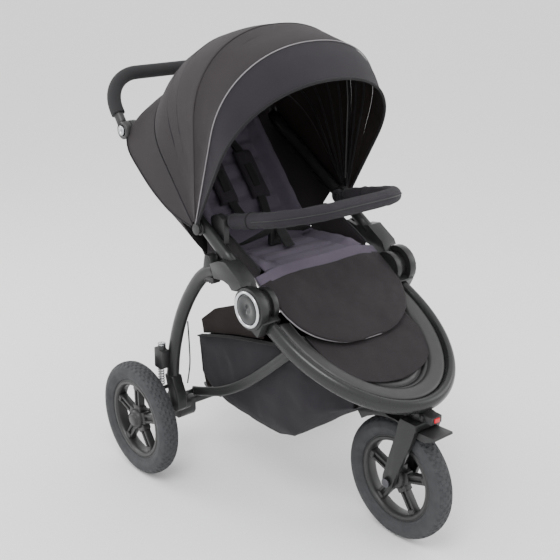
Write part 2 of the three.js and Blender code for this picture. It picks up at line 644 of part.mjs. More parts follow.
// ---- seat -------------------------------------------------------------------------------------
const SEAT_FRONT = [-50, 583];
const SEAT_BACK = [132, 570];
function seatShell() {
  const floor = new THREE.Shape([SEAT_FRONT, add2(SEAT_FRONT, [0, -9]), add2(SEAT_BACK, [0, -9]), SEAT_BACK]
    .map(([y, z]) => new THREE.Vector2(y, z)));
  const side = rounded([add2(SEAT_FRONT, [0, -9]), add2(SEAT_BACK, [0, -9]), add2(SEAT_BACK, [20, 60]),
    add2(SEAT_BACK, [-40, 96]), add2(SEAT_FRONT, [70, 52]), add2(SEAT_FRONT, [4, 26])], 14);
  const walls = SIDES.map(([, s]) => plate(side, layer(s, SEAT_HALF, SEAT_HALF + SHELL_WALL)));
  return joined([plate(floor, [-SEAT_HALF - 1, SEAT_HALF + 1]), ...walls]);
}
place('seat_shell', seatShell(), fabric());

function seatCushion() {
  const outline = rounded([add2(SEAT_FRONT, [-4, GAP + 1]), add2(SEAT_BACK, [0, GAP]), add2(SEAT_BACK, [0, 20]),
    add2(SEAT_FRONT, [-4, 20])], 6);
  return plate(outline, [1 - SEAT_HALF, SEAT_HALF - 1]);
}
place('seat_cushion', seatCushion(), lining());

// the calf pad hangs from the seat's front edge, down towards the footrest
function calfPad() {
  const drop = THREE.MathUtils.degToRad(35);
  const outline = rounded([[-178, -9.4], [178, -9.4], [182, -40], [166, -150], [120, -226], [-120, -226],
    [-166, -150], [-182, -40]], 26);
  const pad = new THREE.ExtrudeGeometry(outline, { depth: 12, bevelEnabled: false, curveSegments: 4 });
  return pad.translate(0, 0, -12).rotateX(drop).translate(0, SEAT_FRONT[0] - 2, SEAT_FRONT[1] + 18);
}
place('calf_pad', calfPad(), fabric());

const BUCKLE_Y = 92;
const BUCKLE_BASE = 597;
const BUTTON_Z = [BUCKLE_BASE + 14, BUCKLE_BASE + 32];
place('crotch_buckle', joined([box([-23, 23], [BUCKLE_Y - 8, BUCKLE_Y + 6], [BUCKLE_BASE, BUCKLE_BASE + 46])],
  [box([-8, 8], [BUCKLE_Y - 10, BUCKLE_Y - 2], BUTTON_Z)]), plastic());
const button = box([GAP - 8, 8 - GAP], [BUCKLE_Y - 10.5, BUCKLE_Y - 4.5], [BUTTON_Z[0] + GAP, BUTTON_Z[1] - GAP]);
place('buckle_button', button, plastic());

const back = new THREE.Group();
back.position.set(0, ...BACK_PIVOT);
back.rotation.x = BACK_ANGLE;
root.add(back);
place('backrest_board', box([-BACK_HALF, BACK_HALF], [8, BACK_LENGTH], [-26, -18]), fabric(), back);

function backrestPad() {
  const [edge, wing] = [BACK_HALF, BACK_HALF - 44];
  const section = rounded([[-edge, -17.6], [edge, -17.6], [edge, 26], [wing, 26], [wing - 12, 3],
    [12 - wing, 3], [-wing, 26], [-edge, 26]], 7);
  const pad = new THREE.ExtrudeGeometry(section, { depth: BACK_LENGTH - 12, bevelEnabled: false, curveSegments: 3 });
  return pad.rotateX(Math.PI / 2).translate(0, BACK_LENGTH - 2, 0);
}
place('backrest_pad', backrestPad(), lining(), back);
for (const [side, s] of SIDES) {
  const outline = rounded([[-24, 120], [24, 120], [27, 262], [-20, 262]], 12);
  const pad = new THREE.ExtrudeGeometry(outline, { depth: 14, bevelEnabled: false, curveSegments: 3 });
  place(`${side}_shoulder_pad`, pad.translate(s * 47, 0, 3.5), fabric(), back);
}

// ---- canopy -----------------------------------------------------------------------------------
// how far the cloth stands from the pivots' line, by the angle up from the rear
const CANOPY_REACH = new THREE.SplineCurve([
  [22, 300], [32, 316], [40, 345], [50, 392], [62, 422], [75, 437], [92, 443], [104, 438], [111, 426], [120, 384],
].map(([a, r]) => new THREE.Vector2(a, r)));

function reachAt(degrees) {
  let [low, high] = [0, 1];
  for (let i = 0; i < 24; i += 1) {
    const middle = (low + high) / 2;
    if (CANOPY_REACH.getPoint(middle).x < degrees) low = middle;
    else high = middle;
  }
  return CANOPY_REACH.getPoint(low).y;
}

// one arch of the canopy, from the right foot to the left foot
function arch(degrees, inset) {
  const spring = reachAt(degrees) - ARCH_RISE;
  const halfWidth = CANOPY_W - inset;
  const profile = [[-halfWidth, CANOPY_FOOT]];
  for (let i = 0; i <= ARCH_STEPS; i += 1) {
    const t = (Math.PI * i) / ARCH_STEPS;
    const x = -halfWidth * Math.sign(Math.cos(t)) * Math.abs(Math.cos(t)) ** (2 / ARCH_POWER);
    profile.push([x, spring + (ARCH_RISE - inset) * Math.max(Math.sin(t), 0) ** (2 / ARCH_POWER)]);
  }
  profile.push([halfWidth, CANOPY_FOOT]);
  return profile.map(([x, r]) => new THREE.Vector3(x, ...polar(CANOPY_PIVOT, r, degrees)));
}

// a closed skin over arches at these angles
function canopySkin(from, to, steps) {
  const rings = [];
  for (let i = 0; i <= steps; i += 1) {
    const degrees = from + ((to - from) * i) / steps;
    rings.push([...arch(degrees, 0), ...arch(degrees, CLOTH).reverse()]);
  }
  const count = rings[0].length;
  const index = [];
  const quad = (a, b, c, d) => index.push(a, c, b, a, d, c);
  for (let i = 0; i < steps; i += 1) {
    for (let j = 0; j < count; j += 1) {
      const k = (j + 1) % count;
      quad(i * count + j, i * count + k, (i + 1) * count + k, (i + 1) * count + j);
    }
  }
  for (let j = 0; j < count / 2 - 1; j += 1) {
    const [a, b, c, d] = [j, j + 1, count - 2 - j, count - 1 - j];
    quad(d, c, b, a);
    quad(...[a, b, c, d].map((v) => v + steps * count));
  }
  const geometry = new THREE.BufferGeometry();
  geometry.setAttribute('position', new THREE.Float32BufferAttribute(rings.flat().flatMap((p) => p.toArray()), 3));
  geometry.setIndex(index);
  geometry.computeVertexNormals();
  return geometry;
}

// the eyes that turn on the canopy pivots, side by side just inside the cloth
const EYE = { bow: [CANOPY_W - 10.6, CANOPY_W - 7.4], visor: [CANOPY_W - 6.8, CANOPY_W - 4.4] };
const VISOR = [111, 120];

// a flat stay from the pivot's eye out to the cloth, turned to an angle
function stay(s, span, reach, degrees) {
  const bar = box(layer(s, ...span), [0, reach], [-5, 5]);
  return bar.rotateX(THREE.MathUtils.degToRad(degrees)).translate(0, ...CANOPY_PIVOT);
}

function eyes(span, pieces) {
  const discs = SIDES.map(([, s]) => disc(CANOPY_PIVOT, 12, layer(s, ...span), 18));
  const bores = SIDES.map(([, s]) => disc(CANOPY_PIVOT, 4 + PLAY, layer(s, span[0] - 1, span[1] + 1), 14));
  return joined([...pieces, ...discs], bores);
}

function canopyBow() {
  const degrees = 91;
  const stays = SIDES.map(([, s]) => stay(s, EYE.bow, CANOPY_FOOT + 14, degrees));
  return eyes(EYE.bow, [along(arch(degrees, 9.5), oval(10, 3.4)), ...stays]);
}

function canopyVisor() {
  const middle = (VISOR[0] + VISOR[1]) / 2;
  const pieces = SIDES.flatMap(([, s]) => [
    stay(s, EYE.visor, 76, middle),
    box(layer(s, EYE.visor[0], CANOPY_W - 1), [58, 76], [-3, 3])
      .rotateX(THREE.MathUtils.degToRad(middle)).translate(0, ...CANOPY_PIVOT),
  ]);
  return eyes(EYE.visor, [canopySkin(...VISOR, 2), ...pieces]);
}

// the rear panel arches over behind the head, and its sides run down over the upper tubes
function canopyRear() {
  const rear = 44;
  const wing = new THREE.Shape([
    polar(CANOPY_PIVOT, CANOPY_FOOT, rear + 3), polar(CANOPY_PIVOT, reachAt(rear + 3) - ARCH_RISE - 4, rear + 3),
    polar(CANOPY_PIVOT, 322, 36), polar(CANOPY_PIVOT, 316, 31), polar(CANOPY_PIVOT, 300, 27),
    polar(CANOPY_PIVOT, 180, 21), polar(CANOPY_PIVOT, CANOPY_FOOT, 12),
  ].map(([y, z]) => new THREE.Vector2(y, z)));
  const wings = SIDES.map(([, s]) => plate(wing, layer(s, CANOPY_W - CLOTH, CANOPY_W)));
  return joined([canopySkin(rear, 50, 2), ...wings]);
}
place('canopy_rear', canopyRear(), fabric());
place('canopy_middle', canopySkin(50.4, 91, 5), fabric());
place('canopy_bow', canopyBow(), dark());
place('canopy_forward', canopySkin(91.4, VISOR[0] - 0.4, 3), fabric());
place('canopy_visor', canopyVisor(), fabric());

for (const [side, s] of SIDES) {
  const near = TUBE_X + TUBE_W / 2 + GAP;
  place(`${side}_canopy_pivot`, joined([
    disc(CANOPY_PIVOT, 16, layer(s, near, EYE.bow[0] - GAP), 20),
    disc(CANOPY_PIVOT, 4, layer(s, near + 1, EYE.visor[1] + 2), 14),
    disc(CANOPY_PIVOT, 14, layer(s, EYE.visor[1] + GAP, EYE.visor[1] + 3), 20),
  ]), plastic());
}

// ---- bumper bar -------------------------------------------------------------------------------
const bumper = new THREE.Group();
bumper.position.set(0, ...BUMPER_PIVOT);
bumper.rotation.x = -BUMPER_TILT;
root.add(bumper);

function bumperBar() {
  const v = (a, b) => new THREE.Vector3(a, -b, 0);
  const stations = bentStations([v(-BUMPER_X, 32), v(-BUMPER_X, BUMPER_REACH), v(BUMPER_X, BUMPER_REACH),
    v(BUMPER_X, 32)], 105);
  const lugs = SIDES.map(([, s]) => disc([0, 0], 17, layer(s, BUMPER_X - 8, BUMPER_X + 8), 20));
  const links = SIDES.map(([, s]) => box(layer(s, BUMPER_X - 7, BUMPER_X + 7), [-40, 0], [-13, 13]));
  const bores = SIDES.map(([, s]) => disc([0, 0], PIN_R + PLAY, layer(s, BUMPER_X - 20, BUMPER_X + 20), 14));
  return joined([along(stations, oval(2 * BUMPER_R, 2 * BUMPER_R)), ...lugs, ...links], bores);
}
place('bumper_bar', bumperBar(), fabric(), bumper);

for (const [side, s] of SIDES) {
  const outline = rounded([[38, 640], [84, 668], [88, 704], [62, 716], [38, 704]], 10);
  place(`${side}_bumper_mount`, joined([
    plate(outline, layer(s, BUMPER_X + 8 + GAP, TUBE_X - TUBE_W / 2 - GAP)),
    disc(BUMPER_PIVOT, PIN_R, layer(s, BUMPER_X - 10, BUMPER_X + 12), 14),
  ]), plastic());
}

export default root;
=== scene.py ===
"""A three-wheel pushchair with cloth seat, folding canopy and basket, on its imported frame.

Metres, +Z up, front towards -Y, floor at Z = 0. Side outlines are (Y, Z) pairs in millimetres.
"""
import json
import math

import bmesh
import bpy
from mathutils import Matrix, Vector, noise


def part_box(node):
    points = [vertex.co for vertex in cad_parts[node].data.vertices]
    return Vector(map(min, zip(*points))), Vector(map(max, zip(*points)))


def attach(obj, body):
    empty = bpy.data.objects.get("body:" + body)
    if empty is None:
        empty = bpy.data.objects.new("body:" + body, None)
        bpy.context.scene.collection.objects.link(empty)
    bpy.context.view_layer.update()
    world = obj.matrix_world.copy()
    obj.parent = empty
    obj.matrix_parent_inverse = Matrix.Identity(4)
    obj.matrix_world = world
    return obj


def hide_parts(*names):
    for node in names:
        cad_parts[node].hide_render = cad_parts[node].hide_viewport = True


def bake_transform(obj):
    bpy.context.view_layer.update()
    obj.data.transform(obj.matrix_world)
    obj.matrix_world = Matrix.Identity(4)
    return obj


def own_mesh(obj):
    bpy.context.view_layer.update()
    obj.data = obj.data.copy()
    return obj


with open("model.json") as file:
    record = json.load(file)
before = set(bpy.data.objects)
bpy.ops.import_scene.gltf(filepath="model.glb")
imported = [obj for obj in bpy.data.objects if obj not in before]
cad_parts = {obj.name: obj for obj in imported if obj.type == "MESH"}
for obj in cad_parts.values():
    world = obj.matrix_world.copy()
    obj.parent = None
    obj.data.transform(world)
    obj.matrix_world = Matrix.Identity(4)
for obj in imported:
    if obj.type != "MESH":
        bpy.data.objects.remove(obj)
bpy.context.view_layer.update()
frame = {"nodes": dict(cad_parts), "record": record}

MM = 0.001
SIDES = (("right", -1), ("left", 1))
ACROSS = Vector((1, 0, 0))

JOINTS = {joint["name"]: joint for joint in frame["record"]["behaviour"]["joints"]}


def pivot(joint):
    """Where a hinge stands, in metres."""
    return Vector(JOINTS[joint]["pos_m"])


HUB = pivot("frame_fold")
BAR_START = pivot("basket_bar_fold")
BACK_PIVOT = pivot("recline")
CANOPY_PIVOT = pivot("canopy_fold")
BUMPER_PIVOT = pivot("bumper_tilt")
HANDLE_PIVOT = pivot("handle_tilt")
STEER = pivot("front_caster")
FRONT_AXLE = pivot("front_wheel_spin")


# ---- camera, light and floor ------------------------------------------------------------------
VIEW_AZIMUTH = math.radians(-40)
VIEW_ELEVATION = math.radians(19.957)
VIEW_DISTANCE = 2.334
VIEW_TARGET = Vector((-0.0743, -0.0099, 0.5471))


def make_camera():
    data = bpy.data.cameras.new("camera")
    data.lens = 64.04
    data.sensor_width = 36
    camera = bpy.data.objects.new("camera", data)
    bpy.context.scene.collection.objects.link(camera)
    away = Vector((
        math.sin(VIEW_AZIMUTH) * math.cos(VIEW_ELEVATION),
        -math.cos(VIEW_AZIMUTH) * math.cos(VIEW_ELEVATION),
        math.sin(VIEW_ELEVATION),
    ))
    camera.location = VIEW_TARGET + VIEW_DISTANCE * away
    camera.rotation_euler = away.to_track_quat("Z", "Y").to_euler()
    bpy.context.scene.camera = camera


def make_light(name, place, size, power):
    data = bpy.data.lights.new(name, "AREA")
    data.shape = "DISK"
    data.size = size
    data.energy = power
    light = bpy.data.objects.new(name, data)
    light.location = place
    light.rotation_euler = (Vector(place) - Vector((0, 0, 0.5))).to_track_quat("Z", "Y").to_euler()
    bpy.context.scene.collection.objects.link(light)


def make_studio():
    world = bpy.data.worlds.new("studio")
    bpy.context.scene.world = world
    world.use_nodes = True
    world.node_tree.nodes["Background"].inputs["Color"].default_value = (1, 1, 1, 1)
    world.node_tree.nodes["Background"].inputs["Strength"].default_value = 1.5
    make_light("key", (-1.6, -1.2, 3.2), 1.6, 60)
    make_light("fill", (2.4, -1.6, 1.8), 2.0, 22)
    make_light("rim", (-1.2, 2.2, 1.8), 1.5, 26)
    bm = bmesh.new()
    bmesh.ops.create_grid(bm, x_segments=1, y_segments=1, size=40)
    floor = piece_of("floor", bm, [paper()])


# ---- materials --------------------------------------------------------------------------------
class Recipe:
    """The nodes of one material, on Object coordinates unless told otherwise."""

    def __init__(self, name, colour, rough, metallic=0.0, coords="Object"):
        self.material = bpy.data.materials.new(name)
        self.material.use_nodes = True
        self.tree = self.material.node_tree
        self.shader = self.tree.nodes["Principled BSDF"]
        self.place = self.tree.nodes.new("ShaderNodeTexCoord").outputs[coords]
        self.set("Base Color", (*colour, 1))
        self.set("Roughness", rough)
        self.set("Metallic", metallic)
        self.colour = colour

    def set(self, socket, value):
        self.shader.inputs[socket].default_value = value

    def link(self, source, target):
        self.tree.links.new(source, target)

    def noise(self, scale, detail=3.0):
        node = self.tree.nodes.new("ShaderNodeTexNoise")
        node.inputs["Scale"].default_value = scale
        node.inputs["Detail"].default_value = detail
        self.link(self.place, node.inputs["Vector"])
        return node.outputs["Fac"]

    def bands(self, scale, direction):
        node = self.tree.nodes.new("ShaderNodeTexWave")
        node.bands_direction = direction
        node.inputs["Scale"].default_value = scale
        node.inputs["Distortion"].default_value = 0.6
        node.inputs["Detail Scale"].default_value = 2
        self.link(self.place, node.inputs["Vector"])
        return node.outputs["Fac"]

    def cells(self, scale):
        node = self.tree.nodes.new("ShaderNodeTexVoronoi")
        node.inputs["Scale"].default_value = scale
        self.link(self.place, node.inputs["Vector"])
        return node.outputs["Distance"]

    def math(self, operation, a, b):
        node = self.tree.nodes.new("ShaderNodeMath")
        node.operation = operation
        for value, socket in ((a, node.inputs[0]), (b, node.inputs[1])):
            if isinstance(value, (int, float)):
                socket.default_value = value
            else:
                self.link(value, socket)
        return node.outputs[0]

    def spread(self, factor, low, high, start=0.3, end=0.7):
        """A number that goes from low to high as factor goes from start to end."""
        node = self.tree.nodes.new("ShaderNodeMapRange")
        for socket, value in (("From Min", start), ("From Max", end), ("To Min", low), ("To Max", high)):
            node.inputs[socket].default_value = value
        self.link(factor, node.inputs["Value"])
        return node.outputs["Result"]

    def tint(self, factor, dark, light):
        """The base colour, mixed between shares dark and light of the material's own colour."""
        node = self.tree.nodes.new("ShaderNodeMix")
        node.data_type = "RGBA"
        factor_socket, dark_socket, light_socket = node.inputs[0], node.inputs[6], node.inputs[7]
        dark_socket.default_value = (*[c * dark for c in self.colour], 1)
        light_socket.default_value = (*[c * light for c in self.colour], 1)
        self.link(factor, factor_socket)
        self.link(node.outputs[2], self.shader.inputs["Base Color"])

    def rough(self, factor, low, high):
        self.link(self.spread(factor, low, high), self.shader.inputs["Roughness"])

    def bump(self, height, strength, distance):
        node = self.tree.nodes.new("ShaderNodeBump")
        node.inputs["Strength"].default_value = strength
        node.inputs["Distance"].default_value = distance
        self.link(height, node.inputs["Height"])
        self.link(node.outputs["Normal"], self.shader.inputs["Normal"])


def paper():
    recipe = Recipe("pale_floor", (0.9, 0.9, 0.9), 0.9)
    recipe.set("Specular IOR Level", 0.1)
    recipe.tint(recipe.noise(1.5), 0.99, 1.01)
    return recipe.material


def satin_paint(name, colour, rough):
    """Powder coat on tube: a fine orange peel, with slightly uneven gloss."""
    recipe = Recipe(name, colour, rough, metallic=0.35)
    recipe.tint(recipe.noise(14, 4), 0.86, 1.16)
    recipe.rough(recipe.noise(22, 3), rough - 0.05, rough + 0.07)
    recipe.bump(recipe.noise(900, 2), 0.12, 0.0004)
    return recipe.material


def moulded(name, colour, rough, grain=1400):
    """Injection-moulded plastic with a spark-eroded grain."""
    recipe = Recipe(name, colour, rough)
    recipe.tint(recipe.noise(18, 4), 0.85, 1.18)
    recipe.rough(recipe.noise(30, 3), rough - 0.06, rough + 0.08)
    recipe.bump(recipe.cells(grain), 0.16, 0.0003)
    return recipe.material


def woven(name, colour, thread=1500, crease=0.25, sheen=0.05):
    """Plain-weave polyester: crossed threads, slubs and a soft sheen."""
    recipe = Recipe(name, colour, 0.86)
    recipe.set("Specular IOR Level", 0.25)
    recipe.set("Sheen Weight", sheen)
    recipe.set("Sheen Roughness", 0.45)
    slubs = recipe.math("MULTIPLY", recipe.noise(9, 5), recipe.spread(recipe.noise(700, 2), 0.75, 1.25))
    recipe.tint(slubs, 0.78, 1.24)
    threads = recipe.math("MULTIPLY", recipe.bands(thread, "DIAGONAL"), recipe.bands(thread, "Z"))
    folds = recipe.math("MULTIPLY", recipe.noise(16, 3), crease * 6)
    recipe.bump(recipe.math("ADD", threads, folds), 0.5, 0.0009)
    return recipe.material


def foam_rubber(name, colour, rough, grain):
    recipe = Recipe(name, colour, rough)
    recipe.tint(recipe.noise(30, 4), 0.8, 1.25)
    recipe.bump(recipe.noise(grain, 3), 0.4, 0.0006)
    return recipe.material


def tyre_rubber():
    recipe = Recipe("tyre_rubber", (0.028, 0.029, 0.032), 0.78)
    recipe.tint(recipe.noise(45, 6), 0.7, 1.5)
    recipe.rough(recipe.noise(60, 3), 0.68, 0.86)
    recipe.bump(recipe.noise(1100, 3), 0.3, 0.0005)
    return recipe.material


def bright_metal(name, colour, rough, direction="Z"):
    recipe = Recipe(name, colour, rough, metallic=0.95)
    recipe.tint(recipe.noise(80, 3), 0.85, 1.1)
    recipe.bump(recipe.bands(1800, direction), 0.06, 0.0002)
    return recipe.material


def make_materials():
    return {
        "paint": satin_paint("frame_paint", (0.019, 0.0195, 0.0195), 0.36),
        "gloss": satin_paint("loop_paint", (0.019, 0.0195, 0.0195), 0.27),
        "plastic": moulded("black_plastic", (0.0115, 0.0115, 0.0125), 0.46),
        "tray": moulded("tray_plastic", (0.022, 0.022, 0.022), 0.44),
        "rim": moulded("wheel_plastic", (0.018, 0.018, 0.018), 0.42, 900),
        "disc": moulded("hub_disc_plastic", (0.012, 0.013, 0.014), 0.18, 2600),
        "tyre": tyre_rubber(),
        "silver": bright_metal("hub_ring_metal", (0.60, 0.61, 0.63), 0.26),
        "steel": bright_metal("spring_steel", (0.32, 0.32, 0.33), 0.34),
        "bolt": bright_metal("axle_metal", (0.10, 0.10, 0.11), 0.4),
        "grip": foam_rubber("grip_foam", (0.012, 0.012, 0.0135), 0.88, 1500),
        "red": moulded("red_plastic", (0.62, 0.010, 0.022), 0.28, 2600),
        "canopy": woven("canopy_cloth", (0.0245, 0.0208, 0.0228)),
        "visor": woven("visor_cloth", (0.0195, 0.0170, 0.0215)),
        "lining": woven("canopy_lining", (0.012, 0.008, 0.007), sheen=0.03),
        "insert": woven("seat_cloth", (0.080, 0.067, 0.092), thread=1100),
        "pad": woven("strap_pad_cloth", (0.020, 0.016, 0.022), thread=900),
        "apron": woven("apron_cloth", (0.0165, 0.0135, 0.0155)),
        "basket": woven("basket_cloth", (0.0135, 0.0120, 0.0155)),
        "binding": woven("binding_tape", (0.012, 0.011, 0.013), thread=900, crease=0.05),
        "piping": woven("piping_cord", (0.22, 0.21, 0.22), thread=900, crease=0.05),
        "webbing": woven("strap_webbing", (0.010, 0.010, 0.011), thread=700, crease=0.1),
    }


# ---- making pieces ----------------------------------------------------------------------------
def piece_of(name, bm, materials, smooth=True):
    """An object at the origin from a bmesh, smooth-shaded."""
    mesh = bpy.data.meshes.new(name)
    bm.to_mesh(mesh)
    bm.free()
    for material in materials:
        mesh.materials.append(material)
    mesh.polygons.foreach_set("use_smooth", [smooth] * len(mesh.polygons))
    made = bpy.data.objects.new(name, mesh)
    bpy.context.scene.collection.objects.link(made)
    return made


def add_modifier(made, kind, **values):
    modifier = made.modifiers.new(kind.lower(), kind)
    for key, value in values.items():
        setattr(modifier, key, value)
    return modifier


def thicken(made, thickness, offset=-1.0, inner_material=0):
    add_modifier(made, "SOLIDIFY", thickness=thickness, offset=offset, material_offset=inner_material)


def soften(made, levels=1):
    add_modifier(made, "SUBSURF", levels=levels, render_levels=levels)


def round_edges(made, width, segments=2, angle=35):
    add_modifier(made, "BEVEL", width=width, segments=segments, limit_method="ANGLE",
                 angle_limit=math.radians(angle), harden_normals=True)


def sheet(across, along, place):
    """A grid of cloth whose points lie where place(u, v) says, u and v from 0 to 1."""
    bm = bmesh.new()
    bmesh.ops.create_grid(bm, x_segments=across, y_segments=along, size=0.5)
    for vert in bm.verts:
        vert.co = place(vert.co.x + 0.5, vert.co.y + 0.5)
    return bm


def outward(bm, middle):
    """The cloth's right side turned away from a middle point."""
    bm.normal_update()
    facing = sum(f.normal.dot(f.calc_center_median() - middle) * f.calc_area() for f in bm.faces)
    if facing < 0:
        bmesh.ops.reverse_faces(bm, faces=bm.faces)
    return bm


def smooth_path(points, per_span=8):
    """Points along a smooth curve through the given ones."""
    points = [Vector(p) for p in points]
    padded = [2 * points[0] - points[1], *points, 2 * points[-1] - points[-2]]
    path = []
    for a, b, c, d in zip(padded, padded[1:], padded[2:], padded[3:]):
        for i in range(per_span):
            t = i / per_span
            path.append(0.5 * (2 * b + (c - a) * t + (2 * a - 5 * b + 4 * c - d) * t ** 2
                               + (3 * b - a - 3 * c + d) * t ** 3))
    path.append(points[-1])
    return path


def side_path(x, outline, per_span=8):
    """A smooth curve through (Y, Z) millimetres at one X."""
    return smooth_path([(x, y * MM, z * MM) for y, z in outline], per_span)


def at(path, t):
    """The point and the direction at share t of a path's points."""
    last = len(path) - 1
    spot = t * last
    i = min(int(spot), last - 1)
    headings = [(path[min(k + 1, last)] - path[max(k - 1, 0)]).normalized() for k in (i, i + 1)]
    return path[i].lerp(path[i + 1], spot - i), headings[0].lerp(headings[1], spot - i).normalized()


def oval(wide, high):
    """A section: half sizes across and up at an angle, in metres."""
    return lambda angle: (wide / 2 * math.cos(angle), high / 2 * math.sin(angle))


def swept(path, normal, section, around=20, along=None, capped=True):
    """A bar of this section along a flat path; the section's first size lies along normal."""
    along = along or len(path) - 1

    def place(u, v):
        point, heading = at(path, u)
        a, b = section(v * 2 * math.pi)
        return point + normal * a + heading.cross(normal).normalized() * b

    bm = sheet(along, around, place)
    bmesh.ops.remove_doubles(bm, verts=bm.verts, dist=1e-6)
    if capped:
        bmesh.ops.holes_fill(bm, edges=[e for e in bm.edges if e.is_boundary], sides=0)
    bmesh.ops.recalc_face_normals(bm, faces=bm.faces)
    return bm


def merge(target, extra):
    """Adds one bmesh's shape to another."""
    mesh = bpy.data.meshes.new("part")
    extra.to_mesh(mesh)
    extra.free()
    target.from_mesh(mesh)
    bpy.data.meshes.remove(mesh)
    return target


def spun(outline, centre, steps=64, closed=True):
    """A shape turned about the X line through centre, from (radius, x) millimetres."""
    bm = bmesh.new()
    verts = [bm.verts.new((x * MM, 0, r * MM)) for r, x in outline]
    pairs = list(zip(verts, verts[1:])) + ([(verts[-1], verts[0])] if closed else [])
    edges = [bm.edges.new(pair) for pair in pairs]
    bmesh.ops.spin(bm, geom=verts + edges, cent=(0, 0, 0), axis=(1, 0, 0), angle=2 * math.pi,
                   steps=steps, use_merge=True)
    bmesh.ops.remove_doubles(bm, verts=bm.verts, dist=1e-6)
    bmesh.ops.recalc_face_normals(bm, faces=bm.faces)
    bmesh.ops.translate(bm, verts=bm.verts, vec=centre)
    return bm


def block(low, high, edge=0.0, segments=2):
    """A box between two corners, in metres, with rounded edges."""
    bm = bmesh.new()
    low, high = Vector(low), Vector(high)
    bmesh.ops.create_cube(bm, size=1)
    bmesh.ops.scale(bm, verts=bm.verts, vec=high - low)
    bmesh.ops.translate(bm, verts=bm.verts, vec=(low + high) / 2)
    if edge:
        bmesh.ops.bevel(bm, geom=bm.edges[:], offset=edge, segments=segments, profile=0.5,
                        affect="EDGES", material=-1)
    return bm


def piping(name, path, radius, material, body=None):
    """A round cord along any path, as a mesh."""
    curve = bpy.data.curves.new(name, "CURVE")
    curve.dimensions = "3D"
    curve.bevel_depth = radius
    curve.bevel_resolution = 2
    curve.use_fill_caps = True
    spline = curve.splines.new("POLY")
    spline.points.add(len(path) - 1)
    for point, place in zip(spline.points, path):
        point.co = (*place, 1)
    holder = bpy.data.objects.new(name + "_line", curve)
    mesh = bpy.data.meshes.new_from_object(holder)
    bpy.data.objects.remove(holder)
    mesh.name = name
    mesh.materials.clear()
    mesh.materials.append(material)
    mesh.polygons.foreach_set("use_smooth", [True] * len(mesh.polygons))
    made = bpy.data.objects.new(name, mesh)
    bpy.context.scene.collection.objects.link(made)
    if body:
        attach(made, body)
    return made


def polish(node, material, edge=0.8, segments=2):
    """A CAD node keeps its shape and gets rounded edges and a finish."""
    made = frame["nodes"][node]
    made.data.materials.clear()
    made.data.materials.append(material)
    add_modifier(made, "WELD", merge_threshold=1e-5)
    if edge:
        round_edges(made, edge * MM, segments)
    made.data.polygons.foreach_set("use_smooth", [True] * len(made.data.polygons))


def plate(outline, near, far, edge=0.0, segments=2):
    """A flat piece from a (Y, Z) outline in millimetres, between two X places in metres."""
    bm = bmesh.new()
    face = bm.faces.new([bm.verts.new((near, y * MM, z * MM)) for y, z in outline])
    grown = bmesh.ops.extrude_face_region(bm, geom=[face])
    moved = [g for g in grown["geom"] if isinstance(g, bmesh.types.BMVert)]
    bmesh.ops.translate(bm, verts=moved, vec=(far - near, 0, 0))
    bmesh.ops.recalc_face_normals(bm, faces=bm.faces)
    if edge:
        bmesh.ops.bevel(bm, geom=bm.edges[:], offset=edge, segments=segments, profile=0.5,
                        affect="EDGES", material=-1)
    return bm


def noisy(place, amount, scale, seed=0.0):
    """How far cloth stands in or out at a place, in metres."""
    return amount * (noise.noise(place * scale + Vector((seed, seed, seed))))


def between(table, x):
    """A value read from (x, value) pairs in rising order, with straight lines between them."""
    if x <= table[0][0]:
        return table[0][1]
    for (x0, y0), (x1, y1) in zip(table, table[1:]):
        if x <= x1:
            return y0 + (y1 - y0) * (x - x0) / (x1 - x0)
    return table[-1][1]


def ease(t):
    t = min(max(t, 0.0), 1.0)
    return t * t * (3 - 2 * t)


# ---- wheels -----------------------------------------------------------------------------------
WHEEL_R = 147.5
SPOKE_PAIRS = 5
TREAD_STEPS = 96


def make_tyre(name, centre):
    half = [(103.4, -16), (105.5, -18.5), (108, -20.5), (109.5, -20), (112, -22.6), (122, -25),
            (124, -25.4), (126, -24.9), (134, -23.6), (140, -20.2), (144.2, -15), (146.6, -8.5)]
    outline = half + [(WHEEL_R, 0)] + [(r, -x) for r, x in reversed(half)]
    bm = spun(outline, centre, TREAD_STEPS)
    crown = []
    for face in bm.faces:
        spot = face.calc_center_median() - centre
        radius = math.hypot(spot.y, spot.z)
        if radius > 137 * MM:
            step = int((math.atan2(spot.z, spot.y) / (2 * math.pi) + 1) * TREAD_STEPS)
            row = int(abs(spot.x) / MM / 6.5) + (1 if spot.x > 0 else 0)
            if (step + row) % 2 == 0:
                crown.append(face)
    bmesh.ops.inset_individual(bm, faces=crown, thickness=0.5 * MM, depth=-1.1 * MM)
    return piece_of(name, bm, [STUFF["tyre"]])


